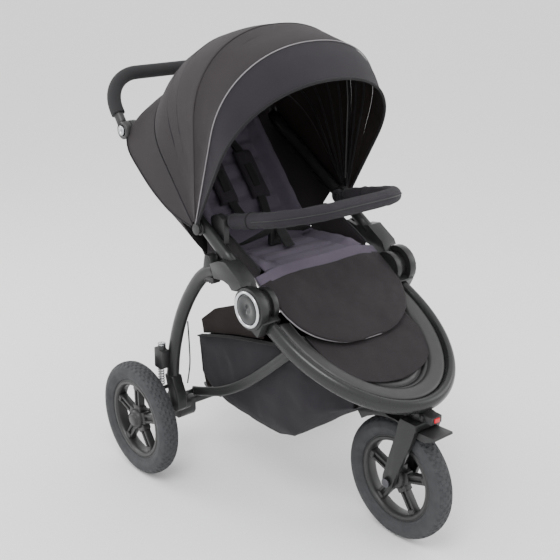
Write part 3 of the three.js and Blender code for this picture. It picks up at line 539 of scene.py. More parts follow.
def make_rim(name, centre, cap_side):
    origin = Vector((0, 0, 0))
    half = [(88.5, -8), (90, -13.5), (93, -16.8), (99, -17), (100.5, -15.4), (103, -15.4)]
    bm = spun(half + [(r, -x) for r, x in reversed(half)], origin, 96)
    barrel = [(6.8, -22), (20, -22), (22.5, -20), (26, -13), (26, 13), (22.5, 20), (20, 22), (6.8, 22)]
    merge(bm, spun(barrel, origin, 48))
    for i in range(SPOKE_PAIRS):
        arms = block((-9 * MM, -11 * MM, 20 * MM), (9 * MM, -4 * MM, 91 * MM), 1.6 * MM)
        merge(arms, block((-9 * MM, 4 * MM, 20 * MM), (9 * MM, 11 * MM, 91 * MM), 1.6 * MM))
        merge(arms, block((-4 * MM, -6 * MM, 20 * MM), (4 * MM, 6 * MM, 91 * MM)))
        merge(arms, block((-12 * MM, -10 * MM, 78 * MM), (12 * MM, 10 * MM, 91 * MM), 3 * MM))
        merge(arms, block((-11 * MM, -15 * MM, 12 * MM), (11 * MM, 15 * MM, 36 * MM), 3 * MM))
        turn = Matrix.Rotation(2 * math.pi * i / SPOKE_PAIRS, 3, "X")
        bmesh.ops.rotate(arms, verts=arms.verts, cent=origin, matrix=turn)
        merge(bm, arms)
    if cap_side:
        dome = [(0.02, 27), (11, 26.6), (15, 25), (17, 22.2), (17, 20), (0.02, 20)]
        merge(bm, spun([(r, x * cap_side) for r, x in dome], origin, 48))
        merge(bm, spun([(18, 20.5 * cap_side), (18, 23.2 * cap_side), (19.5, 23.4 * cap_side),
                        (20.5, 22 * cap_side), (20.5, 20.5 * cap_side)], origin, 48))
    bmesh.ops.translate(bm, verts=bm.verts, vec=centre)
    return piece_of(name, bm, [STUFF["rim"]])


def make_wheels():
    for name, joint, cap_side in (("front_wheel", "front_wheel_spin", 0),
                                  ("right_rear_wheel", "right_wheel_spin", -1),
                                  ("left_rear_wheel", "left_wheel_spin", 1)):
        centre = pivot(joint)
        tyre = make_tyre(f"{name}_treaded_tyre", centre)
        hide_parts(f"{name}_tyre")
        rim = make_rim(f"{name}_spoked_rim", centre, cap_side)
        round_edges(rim, 0.0006, 1, 40)
        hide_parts(f"{name}_rim")
        for made in (tyre, rim):
            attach(made, name)


# ---- fork and front loop ----------------------------------------------------------------------
LOOP_SLOPE = math.radians(26.6)
LOOP_CENTRE = Vector((0, -0.170, 0.4845))
LOOP_HALF = 0.2066
LOOP_LENGTH = 0.277
LOOP_TAIL = 0.036
LOOP_NORMAL = Vector((0, -math.sin(LOOP_SLOPE), math.cos(LOOP_SLOPE)))


def on_slope(x, along, up=0.0):
    """A point on the loop's sloping plane: along runs forward and down from its centre."""
    return LOOP_CENTRE + Vector((x, -along * math.cos(LOOP_SLOPE), -along * math.sin(LOOP_SLOPE))) \
        + LOOP_NORMAL * up


def loop_path(half, length, start=0, end=180, up=0.0, steps=144):
    angles = [math.radians(start + (end - start) * i / steps) for i in range(steps + 1)]
    return [on_slope(half * math.cos(a), length * math.sin(a), up) for a in angles]


def make_loop():
    tail = [on_slope(LOOP_HALF, -LOOP_TAIL * (1 - i / 5)) for i in range(5)]
    other = [on_slope(-LOOP_HALF, -LOOP_TAIL * (i + 1) / 5) for i in range(5)]
    path = tail + loop_path(LOOP_HALF, LOOP_LENGTH) + other
    loop = piece_of("bent_front_loop", swept(path, LOOP_NORMAL, oval(0.036, 0.028), 44), [STUFF["gloss"]])
    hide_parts("front_loop")
    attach(loop, "front_frame")


def make_footrest():
    """A wide moulded rim inside the loop, and a dished floor one step below it."""
    outer, inner = (0.1912, 0.2618), (0.153, 0.223)

    def rim_place(u, v):
        angle = math.radians(min(max((u - 0.07) / 0.86, 0), 1) * 180)
        tail = 0.032 * max(0.07 - u, u - 0.93, 0) / 0.07
        half = outer[0] + (inner[0] - outer[0]) * v
        length = outer[1] + (inner[1] - outer[1]) * v
        rise = 0.007 * math.cos(v * 1.5) - 0.010 * ease((v - 0.75) / 0.25) - 0.006 * ease((0.08 - v) / 0.08)
        return on_slope(half * math.cos(angle), length * math.sin(angle) - tail, rise)

    bm = sheet(72, 14, rim_place)
    rim = piece_of("footrest_rim", bm, [STUFF["tray"]])
    thicken(rim, 0.004)
    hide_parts("footrest_tray")

    def floor_place(u, v):
        angle = math.radians(2 + 176 * u)
        half, length = 0.141 * (1 - 0.55 * v), 0.212 - 0.10 * v
        return on_slope(half * math.cos(angle), length * math.sin(angle), -0.009 + 0.003 * v)

    floor = piece_of("footrest_floor", sheet(64, 8, floor_place), [STUFF["tray"]])
    thicken(floor, 0.003)
    lip = piping("footrest_floor_lip", loop_path(0.141, 0.212, 2, 178, -0.008), 0.0016, STUFF["tray"])
    slot = piece_of("footrest_slot_wall", sheet(64, 2, lambda u, v: on_slope(
        (0.155 - 0.016 * v) * math.cos(math.radians(2 + 176 * u)),
        (0.225 - 0.014 * v) * math.sin(math.radians(2 + 176 * u)), -0.001 - 0.011 * v)), [STUFF["plastic"]])
    thicken(slot, 0.002)
    for made in (rim, floor, lip, slot):
        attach(made, "front_frame")


def make_footwell():
    def place(u, v):
        along = 0.015 + 0.184 * v
        half = 0.146 * math.sqrt(max(0.0, 1 - max(0.0, (along - 0.085) / 0.1135) ** 2.3)) + 0.002
        x = (2 * u - 1) * half
        crown = 0.004 * math.cos((2 * u - 1) * 1.4) * math.sin(math.pi * (0.15 + 0.8 * v))
        point = on_slope(x, along, -0.002 + crown)
        return point + LOOP_NORMAL * noisy(point, 0.0015, 30)

    pad = piece_of("footwell_pad", sheet(40, 30, place), [STUFF["apron"]])
    bpy.context.view_layer.update()
    thicken(pad, 0.005)
    soften(pad)
    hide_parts("footwell_cloth")
    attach(pad, "front_frame")


def make_front_end():
    for node, material, edge in (("fork", "paint", 1.6), ("front_fender", "plastic", 2.2),
                                 ("steering_head", "plastic", 1.4), ("front_axle", "bolt", 0.8),
                                 ("swivel_lock_button", "red", 0.8)):
        polish(node, STUFF[material], edge, 3)
    y, z = STEER.y / MM, FRONT_AXLE.z / MM
    stop = block((-0.012, (y + 26) * MM, (z + 158) * MM), (0.012, (y + 40) * MM, (z + 172) * MM), 0.002)
    made = piece_of("steering_stop", stop, [STUFF["plastic"]])
    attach(made, "front_frame")


# ---- hubs and side frame ----------------------------------------------------------------------
TUBE_ANGLE = math.radians(31.6)
TUBE_X = 0.213
LEG_X = 0.228
LEG_LINE = ((29.6, 596.8), (60, 583), (96.5, 555.8), (139, 503.4), (176, 441.4), (201.3, 380.2),
            (217.8, 321), (227, 256))


def make_hubs():
    y, z = HUB.y, HUB.z
    for side, s in SIDES:
        polish(f"{side}_hub_housing", STUFF["paint"], 1.6, 3)
        polish(f"{side}_hub_moulding", STUFF["paint"], 1.6, 3)
        centre = Vector((0, y, z))
        ring = spun([(r, x * s) for r, x in ((34.6, 242.6), (42, 242.6), (42, 245.6), (41, 247.4),
                                             (39, 248.4), (36.6, 247.6), (34.6, 245.4))], centre, 96)
        disc = spun([(r, x * s) for r, x in ((0.02, 242.6), (34.2, 242.6), (34.2, 244.6), (32, 246.2),
                                             (28, 246.9), (0.02, 246.9))], centre, 96)
        pin = spun([(r, x * s) for r, x in ((0.02, 186), (6, 186), (6, 242.4), (0.02, 242.4))], centre, 32)
        ring = piece_of(f"{side}_hub_ring", ring, [STUFF["silver"]])
        disc = piece_of(f"{side}_hub_disc", disc, [STUFF["disc"]])
        pin = piece_of(f"{side}_fold_pin", pin, [STUFF["bolt"]])
        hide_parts(f"{side}_hub_cap")
        for made in (ring, disc, pin):
            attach(made, "front_frame")


def make_side_frames():
    heading = Vector((0, math.cos(TUBE_ANGLE), math.sin(TUBE_ANGLE)))
    for side, s in SIDES:
        top = Vector((s * TUBE_X, HANDLE_PIVOT.y, HANDLE_PIVOT.z))
        path = [top - heading * (0.0234 + (0.472 - 0.0234) * i / 12) for i in range(13)]
        tube = piece_of(f"{side}_upper_rail", swept(path, ACROSS, oval(0.026, 0.030), 28), [STUFF["paint"]])
        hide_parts(f"{side}_upper_tube")
        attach(tube, "upper_frame")

        line = side_path(s * LEG_X, LEG_LINE, 6)
        bm = swept(line, ACROSS, oval(0.030, 0.034), 28)
        near, far = (LEG_X - 0.015) * s, (LEG_X + 0.015) * s
        knuckle = [(208, 268), (243, 266), (235, 240), (227, 212), (225, 190), (216, 174), (198, 174),
                   (188, 184), (187, 205), (192, 230), (203, 250)]
        merge(bm, plate(knuckle, near, far, 0.004, 3))
        ear = [(31.8, 599.5), (70, 582.2), (60, 628), (45, 628), (35.5, 612)]
        merge(bm, plate(ear, near + 0.002 * s, far - 0.003 * s, 0.002, 2))
        for (y, z), x0, x1 in (((205, 190), 195, 215), ((200, 216), 189.6, 215)):
            merge(bm, spun([(0.02, x0 * s), (6, x0 * s), (6, x1 * s), (0.02, x1 * s)],
                           Vector((0, y * MM, z * MM)), 24))
        leg = piece_of(f"{side}_arched_leg", bm, [STUFF["paint"]])
        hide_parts(f"{side}_rear_leg")
        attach(leg, "rear_frame")


def make_leg_fittings():
    """The latch under each arch and the brake wires."""
    for side, s in SIDES:
        ribs = block((s * (LEG_X - 0.011), 0.030, 0.566), (s * (LEG_X + 0.011), 0.066, 0.578), 0.002)
        for i in range(4):
            y = 0.034 + 0.008 * i
            merge(ribs, block((s * (LEG_X - 0.012), y, 0.563),
                              (s * (LEG_X + 0.012), y + 0.004, 0.568), 0.001))
        latch = piece_of(f"{side}_arch_latch", ribs, [STUFF["plastic"]])
        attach(latch, "rear_frame")
        wire = smooth_path([(s * 0.205, 0.196, 0.245), (s * 0.203, 0.186, 0.30), (s * 0.207, 0.180, 0.36),
                            (s * 0.212, 0.176, 0.42)])
        piping(f"{side}_brake_wire", wire, 0.0018, STUFF["plastic"], "rear_frame")


def make_handle():
    heading = Vector((0, math.cos(math.radians(53)), math.sin(math.radians(53))))
    half, reach, bend = 0.233, 0.150, 0.095
    normal = ACROSS.cross(heading)

    def line(start):
        flat = [(-half, start + (reach - bend - start) * i / 4) for i in range(4)]
        for centre, first in ((-half + bend, 180), (half - bend, 90)):
            for i in range(15):
                a = math.radians(first - 90 * i / 14)
                flat.append((centre + bend * math.cos(a), reach - bend + bend * math.sin(a)))
        flat += [(half, reach - bend - (reach - bend - start) * i / 4) for i in range(1, 5)]
        return [Vector((0, HANDLE_PIVOT.y, HANDLE_PIVOT.z)) + ACROSS * x + heading * y for x, y in flat]

    bar = swept(line(0.014), normal, oval(0.024, 0.024), 20)
    for _, s in SIDES:
        centre = Vector((0, HANDLE_PIVOT.y, HANDLE_PIVOT.z))
        drum = [(12.6, 224), (12.6, 238), (13.4, 241), (16, 242.4), (20, 242), (22, 239.6),
                (22, 224), (20, 222.6), (14, 222.6)]
        merge(bar, spun([(r, x * s) for r, x in drum], centre, 48))
    bar = piece_of("handle_tube", bar, [STUFF["tray"]])
    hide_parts("handle_bar")
    grip = piece_of("foam_grip", swept(line(0.044), normal, oval(0.034, 0.034), 28), [STUFF["grip"]])
    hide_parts("handle_grip")
    for made in (bar, grip):
        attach(made, "handle")
    for side, s in SIDES:
        centre = Vector((0, HANDLE_PIVOT.y, HANDLE_PIVOT.z))
        face = [(0.02, 245.0), (9, 245.4), (11, 246), (12, 244.6), (12, 238.4), (0.02, 238.4)]
        button = piece_of(f"{side}_round_button", spun([(r, x * s) for r, x in face], centre, 48),
                          [STUFF["silver"]])
        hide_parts(f"{side}_handle_button")
        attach(button, f"{side}_handle_release")
        polish(f"{side}_handle_housing", STUFF["plastic"], 1.2, 2)


def make_rear_end():
    polish("rear_axle_tube", STUFF["plastic"], 2.0, 3)
    polish("brake_pedal", STUFF["plastic"], 3.0, 3)
    for side, _ in SIDES:
        polish(f"{side}_swing_arm", STUFF["plastic"], 1.6, 3)
        polish(f"{side}_spring_bracket", STUFF["plastic"], 1.4, 2)
        low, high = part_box(f"{side}_spring")
        middle = (low + high) / 2
        turns, wire = 7, 0.0016
        coil = []
        for i in range(turns * 20 + 1):
            a = 2 * math.pi * i / 20
            rise = wire + (high.z - low.z - 2 * wire) * i / (turns * 20)
            coil.append(Vector((middle.x + 0.0068 * math.cos(a), middle.y + 0.0068 * math.sin(a),
                                low.z + rise)))
        spring = piping(f"{side}_coil_spring", coil, wire, STUFF["steel"])
        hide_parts(f"{side}_spring")
        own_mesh(spring)
        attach(spring, "rear_frame")
        low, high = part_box(f"{side}_spring_bracket")
        cap = spun([(0.02, 0), (8, 0), (9.6, 1.5), (9.6, 14), (8, 16), (0.02, 16)], Vector((0, 0, 0)), 32)
        bmesh.ops.rotate(cap, verts=cap.verts, cent=(0, 0, 0), matrix=Matrix.Rotation(-math.pi / 2, 3, "Y"))
        bmesh.ops.translate(cap, verts=cap.verts, vec=(middle.x, middle.y - 0.008, high.z - 0.0155))
        knob = piece_of(f"{side}_lock_knob", cap, [STUFF["silver"]])
        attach(knob, "rear_frame")


def make_basket_bars():
    line = ((BAR_START.y / MM, BAR_START.z / MM), (-152, 428.5), (-82, 368.5), (-5, 309.5), (75, 262),
            (148, 233), (200, 216))

    def grooved(angle):
        a, b = oval(0.010, 0.024)(angle)
        return a * (1 - 0.35 * math.exp(-((b / 0.0032) ** 2))), b

    for side, s in SIDES:
        bar = swept(side_path(s * 0.184, line, 8), ACROSS, grooved, 32)
        bar = piece_of(f"{side}_flat_bar", bar, [STUFF["paint"]])
        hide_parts(f"{side}_basket_bar")
        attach(bar, "basket_bars")


# ---- canopy -----------------------------------------------------------------------------------
CANOPY_HALF = 0.240
CANOPY_FOOT = 0.017
ARCH_RISE = 0.200
ARCH_POWER = 2.2
CANOPY_REACH = ((22, 300), (32, 316), (40, 345), (50, 392), (62, 422), (75, 437), (92, 443), (104, 438),
                (111, 426), (120, 384))
CANOPY_MIDDLE = CANOPY_PIVOT + Vector((0, 0.06, 0.15))
VISOR_START = 107


def reach_at(degrees):
    """A smooth reach of the canopy, in metres, along the ray at this angle."""
    total = weight = 0.0
    for step in (-4, -2, 0, 2, 4):
        share = 3 - abs(step) / 2
        total += share * between(CANOPY_REACH, degrees + step)
        weight += share
    return total / weight * MM


def arch_point(u, degrees, inset=0.0):
    """A place on the canopy arch: u from the right foot (0) to the left foot (1)."""
    half, reach = CANOPY_HALF - inset, reach_at(degrees) - inset
    straight = 0.30
    if u < straight or u > 1 - straight:
        share = u / straight if u < straight else (1 - u) / straight
        radius = CANOPY_FOOT + (reach - ARCH_RISE - CANOPY_FOOT) * share
        x = -half if u < straight else half
    else:
        angle = math.pi * (u - straight) / (1 - 2 * straight)
        c, t = math.cos(angle), math.sin(angle)
        radius = reach - ARCH_RISE + ARCH_RISE * abs(t) ** (2 / ARCH_POWER)
        x = -half * math.copysign(abs(c) ** (2 / ARCH_POWER), c)
    ray = math.radians(degrees)
    return Vector((x, CANOPY_PIVOT.y + radius * math.cos(ray), CANOPY_PIVOT.z + radius * math.sin(ray)))


def canopy_cloth(name, first, last, material, steps=10, sag=0.0):
    """Cloth between two arches, drawn in a little between them, with a dark lining."""
    def place(u, v):
        degrees = first + (last - first) * v
        dip = sag * math.sin(math.pi * v) * (0.35 + 0.65 * math.sin(math.pi * u))
        point = arch_point(u, degrees, dip)
        wave = noisy(point, 0.0022, 14) + noisy(point, 0.0010, 38, 5)
        inward = Vector((point.x, 0, point.z - CANOPY_PIVOT.z - 0.2)).normalized()
        return point - inward * abs(wave) * math.sin(math.pi * min(max(v, 0.0), 1.0))

    made = piece_of(name, outward(sheet(88, steps, place), CANOPY_MIDDLE), [material, STUFF["lining"]])
    thicken(made, 0.0018, -1.0, 1)
    soften(made)
    return made


def arch_cord(name, degrees, radius, material, body, start=0.0, end=1.0, inset=0.0, lead=0.0):
    path = [arch_point(start + (end - start) * i / 120, degrees + lead, inset) for i in range(121)]
    return piping(name, path, radius, STUFF[material], body)


def make_canopy():
    middle = canopy_cloth("canopy_top_cloth", 50, 91, STUFF["canopy"], 22, sag=0.006)
    forward = canopy_cloth("canopy_forward_cloth", 91, VISOR_START, STUFF["canopy"], 12, sag=0.004)
    visor = canopy_cloth("visor_cloth", VISOR_START, 120, STUFF["visor"], 8, sag=0.001)
    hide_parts("canopy_middle")
    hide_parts("canopy_forward")
    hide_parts("canopy_visor")
    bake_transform(middle)
    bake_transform(forward)
    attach(visor, "canopy_front")
    make_canopy_rear()
    arch_cord("visor_piping", VISOR_START, 0.0014, "piping", "canopy_front", inset=-0.0012, lead=0.3)
    arch_cord("visor_binding", 120, 0.0036, "binding", "canopy_front", inset=0.0004, lead=-0.2)
    arch_cord("canopy_mid_seam", 91, 0.0011, "canopy", "canopy_mid", inset=0.0002, lead=0.3)
    for i, degrees in enumerate((58, 66, 75, 83)):
        rib = arch_cord(f"lining_rib_{i}", degrees, 0.0026, "binding", None,
                        inset=0.0075, start=0.01, end=0.99)
        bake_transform(rib)
    for i, degrees in enumerate((96, 102)):
        rib = arch_cord(f"forward_rib_{i}", degrees, 0.0026, "binding", None,
                        inset=0.0065, start=0.01, end=0.99)
        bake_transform(rib)
    arch_cord("canopy_rear_seam", 50, 0.0013, "binding", "upper_frame", inset=-0.0002, lead=-0.3)
    for side, _ in SIDES:
        polish(f"{side}_canopy_pivot", STUFF["plastic"], 1.2, 2)
    polish("canopy_bow", STUFF["plastic"], 1.0, 2)


LOWER_EDGE = ((0.017, 10, 0.239), (0.060, 11, 0.240), (0.110, 13, 0.240), (0.180, 19, 0.241),
              (0.250, 24, 0.241), (0.300, 27, 0.240), (0.326, 31, 0.236), (0.336, 35, 0.222),
              (0.343, 38, 0.180), (0.347, 39.5, 0.120), (0.349, 40, 0.060))


def along_evenly(path, count):
    """Points at equal distances along a path."""
    lengths = [0.0]
    for a, b in zip(path, path[1:]):
        lengths.append(lengths[-1] + (b - a).length)
    points = []
    for i in range(count):
        goal = lengths[-1] * i / (count - 1)
        j = next(k for k in range(1, len(path)) if lengths[k] >= goal - 1e-9)
        points.append(path[j - 1].lerp(path[j], (goal - lengths[j - 1]) / (lengths[j] - lengths[j - 1])))
    return points


def lower_edge():
    """The canopy's lower edge: along one side, across behind the head and back along the other."""
    side = []
    for radius, degrees, x in LOWER_EDGE:
        ray = math.radians(degrees)
        side.append(Vector((-x, CANOPY_PIVOT.y + radius * math.cos(ray),
                            CANOPY_PIVOT.z + radius * math.sin(ray))))
    return smooth_path(side + [Vector((-p.x, p.y, p.z)) for p in reversed(side)], 6)


def make_canopy_rear():
    """The cloth behind the arch at 50 degrees: its sides run down over the upper frame."""
    across, steps = 89, 18
    top = along_evenly([arch_point(i / 160, 50) for i in range(161)], across)
    low = along_evenly(lower_edge(), across)

    def place(u, v):
        i = min(round(u * (across - 1)), across - 1)
        point = low[i].lerp(top[i], v)
        bulge = 0.016 * math.sin(math.pi * v) * math.sin(math.pi * u)
        outward = Vector((0, 0.75, 0.66))
        fold = noisy(point, 0.005, 9, 2) + noisy(point, 0.0018, 30)
        return point + outward * bulge + Vector((0.4 if point.x > 0 else -0.4, 0.5, 0.3)) \
            * fold * math.sin(math.pi * v)

    bm = outward(sheet(across - 1, steps, place), CANOPY_MIDDLE)
    cloth = piece_of("canopy_rear_cloth", bm, [STUFF["canopy"], STUFF["lining"]])
    thicken(cloth, 0.0018, -1.0, 1)
    soften(cloth)
    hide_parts("canopy_rear")
    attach(cloth, "upper_frame")
    piping("canopy_hem", low, 0.0022, STUFF["binding"], "upper_frame")
    make_hood_back(low)


def make_hood_back(low):
    """Dark cloth that closes the gap between the canopy's lower edge and the seat's back."""
    outer = along_evenly(low[3:86], 61)
    frame_line = [on_back(-0.149, 0.004 + 0.361 * i / 20, -0.005) for i in range(21)]
    frame_line += [on_back(-0.149 + 0.298 * i / 20, 0.368, -0.008) for i in range(1, 20)]
    frame_line += [on_back(0.149, 0.365 - 0.361 * i / 20, -0.005) for i in range(21)]
    inner = along_evenly(frame_line, 61)

    def place(u, v):
        i = min(round(u * 60), 60)
        point = inner[i].lerp(outer[i] + Vector((0, -0.002, -0.001)), v)
        dip = math.sin(math.pi * v)
        return point + Vector((0, 0.6, -0.5)) * (0.012 + noisy(point, 0.006, 12)) * dip

    cloth = piece_of("hood_back_cloth", sheet(60, 12, place), [STUFF["apron"], STUFF["lining"]])
    thicken(cloth, 0.0016, 0.0)
    soften(cloth)
    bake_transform(cloth)


# ---- seat -------------------------------------------------------------------------------------
SEAT_FRONT = Vector((0, -0.050, 0.583))
BACK_ANGLE = math.radians(50)
BACK_ALONG = Vector((0, math.cos(BACK_ANGLE), math.sin(BACK_ANGLE)))
BACK_OUT = Vector((0, -math.sin(BACK_ANGLE), math.cos(BACK_ANGLE)))
BACK_LENGTH = 0.372
SEAT_LENGTH = 0.182


def liner_point(x, along, up):
    """On the seat liner: along 0..0.182 over the seat, then up the back."""
    if along < SEAT_LENGTH:
        share = along / SEAT_LENGTH
        base = SEAT_FRONT.lerp(Vector((0, 0.132, 0.570)), share)
        normal = Vector((0, 0, 1))
        base = base + Vector((0, 0, 0.0095))
        near = ease((share - 0.72) / 0.28)
        lean = BACK_OUT.lerp(normal, 1 - near * 0.5)
        return base + Vector((x, 0, 0)) + lean.normalized() * up
    climb = along - SEAT_LENGTH + 0.012
    base = BACK_PIVOT + BACK_ALONG * climb + BACK_OUT * 0.002
    near = ease(1 - climb / 0.06)
    lean = BACK_OUT.lerp(Vector((0, 0, 1)), near * 0.35)
    return base + Vector((x, 0, 0)) + lean.normalized() * up


def make_seat():
    half, total = 0.152, SEAT_LENGTH + BACK_LENGTH - 0.010
    seams = [0.050, 0.100, 0.150, 0.215, 0.262, 0.312, 0.362, 0.412, 0.462, 0.512]

    def place(u, v):
        x, along = (2 * u - 1) * half, v * total
        nearest = min(abs(along - seam) for seam in seams)
        channel = 0.0055 * (1 - math.exp(-((nearest / 0.010) ** 2)))
        side = abs(2 * u - 1)
        bolster = 0.026 * ease((side - 0.66) / 0.22) * (1 - ease((side - 0.93) / 0.09) * 0.8)
        if side > 0.66:
            channel *= 0.25
        fade = ease(along / 0.03) * ease((total - along) / 0.03)
        height = 0.008 + (channel + bolster * (0.45 if along < SEAT_LENGTH else 1.0)) * fade
        point = liner_point(x, along, 0)
        height += noisy(point, 0.0020, 22) + noisy(point, 0.0008, 70, 3)
        return liner_point(x, along, height)

    liner = piece_of("seat_liner", sheet(64, 110, place), [STUFF["insert"], STUFF["pad"]])
    thicken(liner, 0.0072, -1.0, 1)
    soften(liner)
    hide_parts("seat_cushion", "backrest_pad")
    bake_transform(liner)
    make_straps()
    make_seat_sides()


def on_back(x, climb, up):
    return BACK_PIVOT + Vector((x, 0, 0)) + BACK_ALONG * climb + BACK_OUT * up


def make_straps():
    for side, s in SIDES:
        def place(u, v, s=s):
            x = s * 0.050 + (u - 0.5) * 0.058
            climb = 0.122 + 0.138 * v
            edge = max(0.0, abs(2 * u - 1) - 0.75) / 0.25
            end = max(0.0, abs(2 * v - 1) - 0.85) / 0.15
            up = 0.020 + 0.010 * (1 - edge ** 2) * (1 - end ** 2)
            point = on_back(x, climb, up)
            return point + BACK_OUT * noisy(point, 0.002, 40)

        pad = piece_of(f"{side}_strap_pad", sheet(16, 34, place), [STUFF["pad"]])
        thicken(pad, 0.0085)
        soften(pad)
        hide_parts(f"{side}_shoulder_pad")
        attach(pad, "backrest")

        path = smooth_path([on_back(s * 0.043, 0.300, 0.012), on_back(s * 0.046, 0.26, 0.022),
                            on_back(s * 0.047, 0.19, 0.0315), on_back(s * 0.046, 0.125, 0.026),
                            on_back(s * 0.034, 0.075, 0.030), on_back(s * 0.014, 0.052, 0.042)], 6)
        strap = strip(f"{side}_shoulder_strap", path, 0.025, 0.0016)
        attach(strap, "backrest")
        lap = smooth_path([(s * 0.118, 0.112, 0.606), (s * 0.096, 0.098, 0.616), (s * 0.062, 0.088, 0.628),
                           (s * 0.024, 0.082, 0.640)], 6)
        strap = strip(f"{side}_lap_strap", lap, 0.024, 0.0016)
        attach(strap, "upper_frame")
    crotch = smooth_path([(0, 0.040, 0.603), (0, 0.052, 0.612), (0, 0.066, 0.626), (0, 0.078, 0.640)], 6)
    strap = strip("crotch_strap", crotch, 0.030, 0.0018)
    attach(strap, "upper_frame")
    polish("crotch_buckle", STUFF["plastic"], 2.4, 3)
    polish("buckle_button", STUFF["tray"], 0.8, 2)


def strip(name, path, width, thickness):
    """Webbing along a path, flat towards +Z as far as the path lets it."""
    def place(u, v):
        point, heading = at(path, v)
        return point + ACROSS.cross(heading).cross(heading).normalized() * (u - 0.5) * -width

    made = piece_of(name, sheet(6, len(path) * 2, place), [STUFF["webbing"]])
    thicken(made, thickness, 0.0)
    return made


def make_seat_sides():
    """The cloth sides and floor that the liner lies in, and the cloth on the backrest board."""
    rim = ((-50, 598), (-40, 607), (12, 633), (58, 655), (90, 665), (120, 655), (150, 634))

    def shell(u, v):
        y = -49 + 199 * v
        floor = 574 - 13 * (y + 50) / 182 + 0.004
        side = abs(2 * u - 1)
        share = max(0.0, (side - 0.7) / 0.3)
        x = min(side / 0.7, 1.0) * 0.1655
        z = floor + (between(rim, y) - floor) * share
        point = Vector((math.copysign(x, 2 * u - 1), y * MM, z * MM))
        return point + Vector((math.copysign(1, point.x), 0, 0)) * noisy(point, 0.0018, 24) * share

    bucket = piece_of("seat_bucket_cloth", sheet(60, 30, shell), [STUFF["apron"]])
    thicken(bucket, 0.0045, 0.0)
    soften(bucket)
    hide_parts("seat_shell")
    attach(bucket, "upper_frame")
    for side, s in SIDES:
        edge = smooth_path([(s * 0.166, y * MM, z * MM + 0.001) for y, z in rim])
        piping(f"{side}_seat_edge", edge, 0.0030, STUFF["binding"], "upper_frame")

    def back(u, v):
        x, climb = (2 * u - 1) * 0.154, 0.008 + 0.363 * v
        return on_back(x, climb, -0.0265) + BACK_OUT * noisy(on_back(x, climb, 0), 0.0012, 20)

    cover = piece_of("backrest_cover", sheet(30, 60, back), [STUFF["apron"]])
    thicken(cover, 0.0085, 1.0)
    soften(cover)
    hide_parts("backrest_board")
    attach(cover, "backrest")


# ---- apron over the seat's front edge ---------------------------------------------------------
APRON_DROP = math.radians(35)
APRON_TOP = Vector((0, -0.052, 0.601))
APRON_LENGTH = 0.240
APRON_TURN = 0.095


def apron_half(along):
    """Half the apron's width at a distance down it: straight sides, then one rounded end."""
    half = 0.184 - 0.05 * max(along - 0.03, 0) - 0.03 * max(0.03 - along, 0)
    share = max(along - APRON_TURN, 0) / (APRON_LENGTH - APRON_TURN)
    return max(half * (1 - share ** 2.5) ** (1 / 2.3), 0.024)


def apron_point(x, along, up=0.0):
    """On the apron's slope, with its first few centimetres rounded over the seat's edge."""
    down = Vector((0, -math.cos(APRON_DROP), -math.sin(APRON_DROP)))
    out = Vector((0, -math.sin(APRON_DROP), math.cos(APRON_DROP)))
    point = APRON_TOP + down * along + out * (up - 0.003)
    sag = 0.012 * ease((abs(x) - 0.10) / 0.09) * ease(1 - along / 0.15)
    return point + Vector((x, 0, -sag))


def apron_surface(x, along, lift=0.0):
    """The apron's padded face, with its soft creases; piping on it lies a little higher."""
    edge = max(abs(x / apron_half(along)) ** 6, ease((along / APRON_LENGTH - 0.9) / 0.1))
    point = apron_point(x, along, 0.004 * (1 - edge))
    crease = noisy(point, 0.0030, 13) + noisy(point, 0.0012, 42, 2)
    return point + Vector((0, -0.3, 0.9)) * (crease + lift)


def make_apron():
    def place(u, v):
        along = APRON_LENGTH * v
        return apron_surface((2 * u - 1) * apron_half(along), along)

    bm = sheet(64, 56, place)
    for face in bm.faces:
        spot = face.calc_center_median() - APRON_TOP
        down = -spot.y * math.cos(APRON_DROP) - spot.z * math.sin(APRON_DROP)
        face.material_index = 1 if down < 0.0315 else 0
    apron = piece_of("calf_apron", bm, [STUFF["apron"], STUFF["insert"]])
    thicken(apron, 0.0065, -1.0)
    soften(apron)
    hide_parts("calf_pad")
    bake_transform(apron)

    downs = [APRON_LENGTH * math.sin(math.pi / 2 * i / 70) for i in range(71)]
    border = [apron_surface(-apron_half(down), down, 0.0008) for down in downs]
    other = [apron_surface(apron_half(down), down, 0.0008) for down in reversed(downs)]
    edge = piping("apron_piping", border + other, 0.0019, STUFF["piping"])
    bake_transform(edge)
    line = [apron_surface(-0.182 + 0.364 * i / 80, 0.0315, 0.0010) for i in range(81)]
    seam = piping("apron_top_piping", line, 0.0017, STUFF["piping"])
    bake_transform(seam)


# ---- basket -----------------------------------------------------------------------------------
HEM = ((-132, 448), (-39, 429), (56, 408), (140, 385), (196, 368))
FLAP = ((-60, 500), (31, 497), (126, 458), (190, 408))
BASKET_MIDDLE = Vector((0, -0.03, 0.34))
BASKET_FLOOR = ((-325, 352), (-262, 318), (-205, 276), (-164, 240), (-130, 204), (-60, 176), (60, 174),
                (128, 190), (162, 214), (190, 250))
BASKET_FRONT = ((-325, 372), (-262, 404), (-200, 430), (-132, 448))


def basket_half(z):
    """How far the basket's side stands out at a height in millimetres."""
    return between(((165, 132), (195, 148), (240, 163), (300, 171), (360, 174)), z) * MM


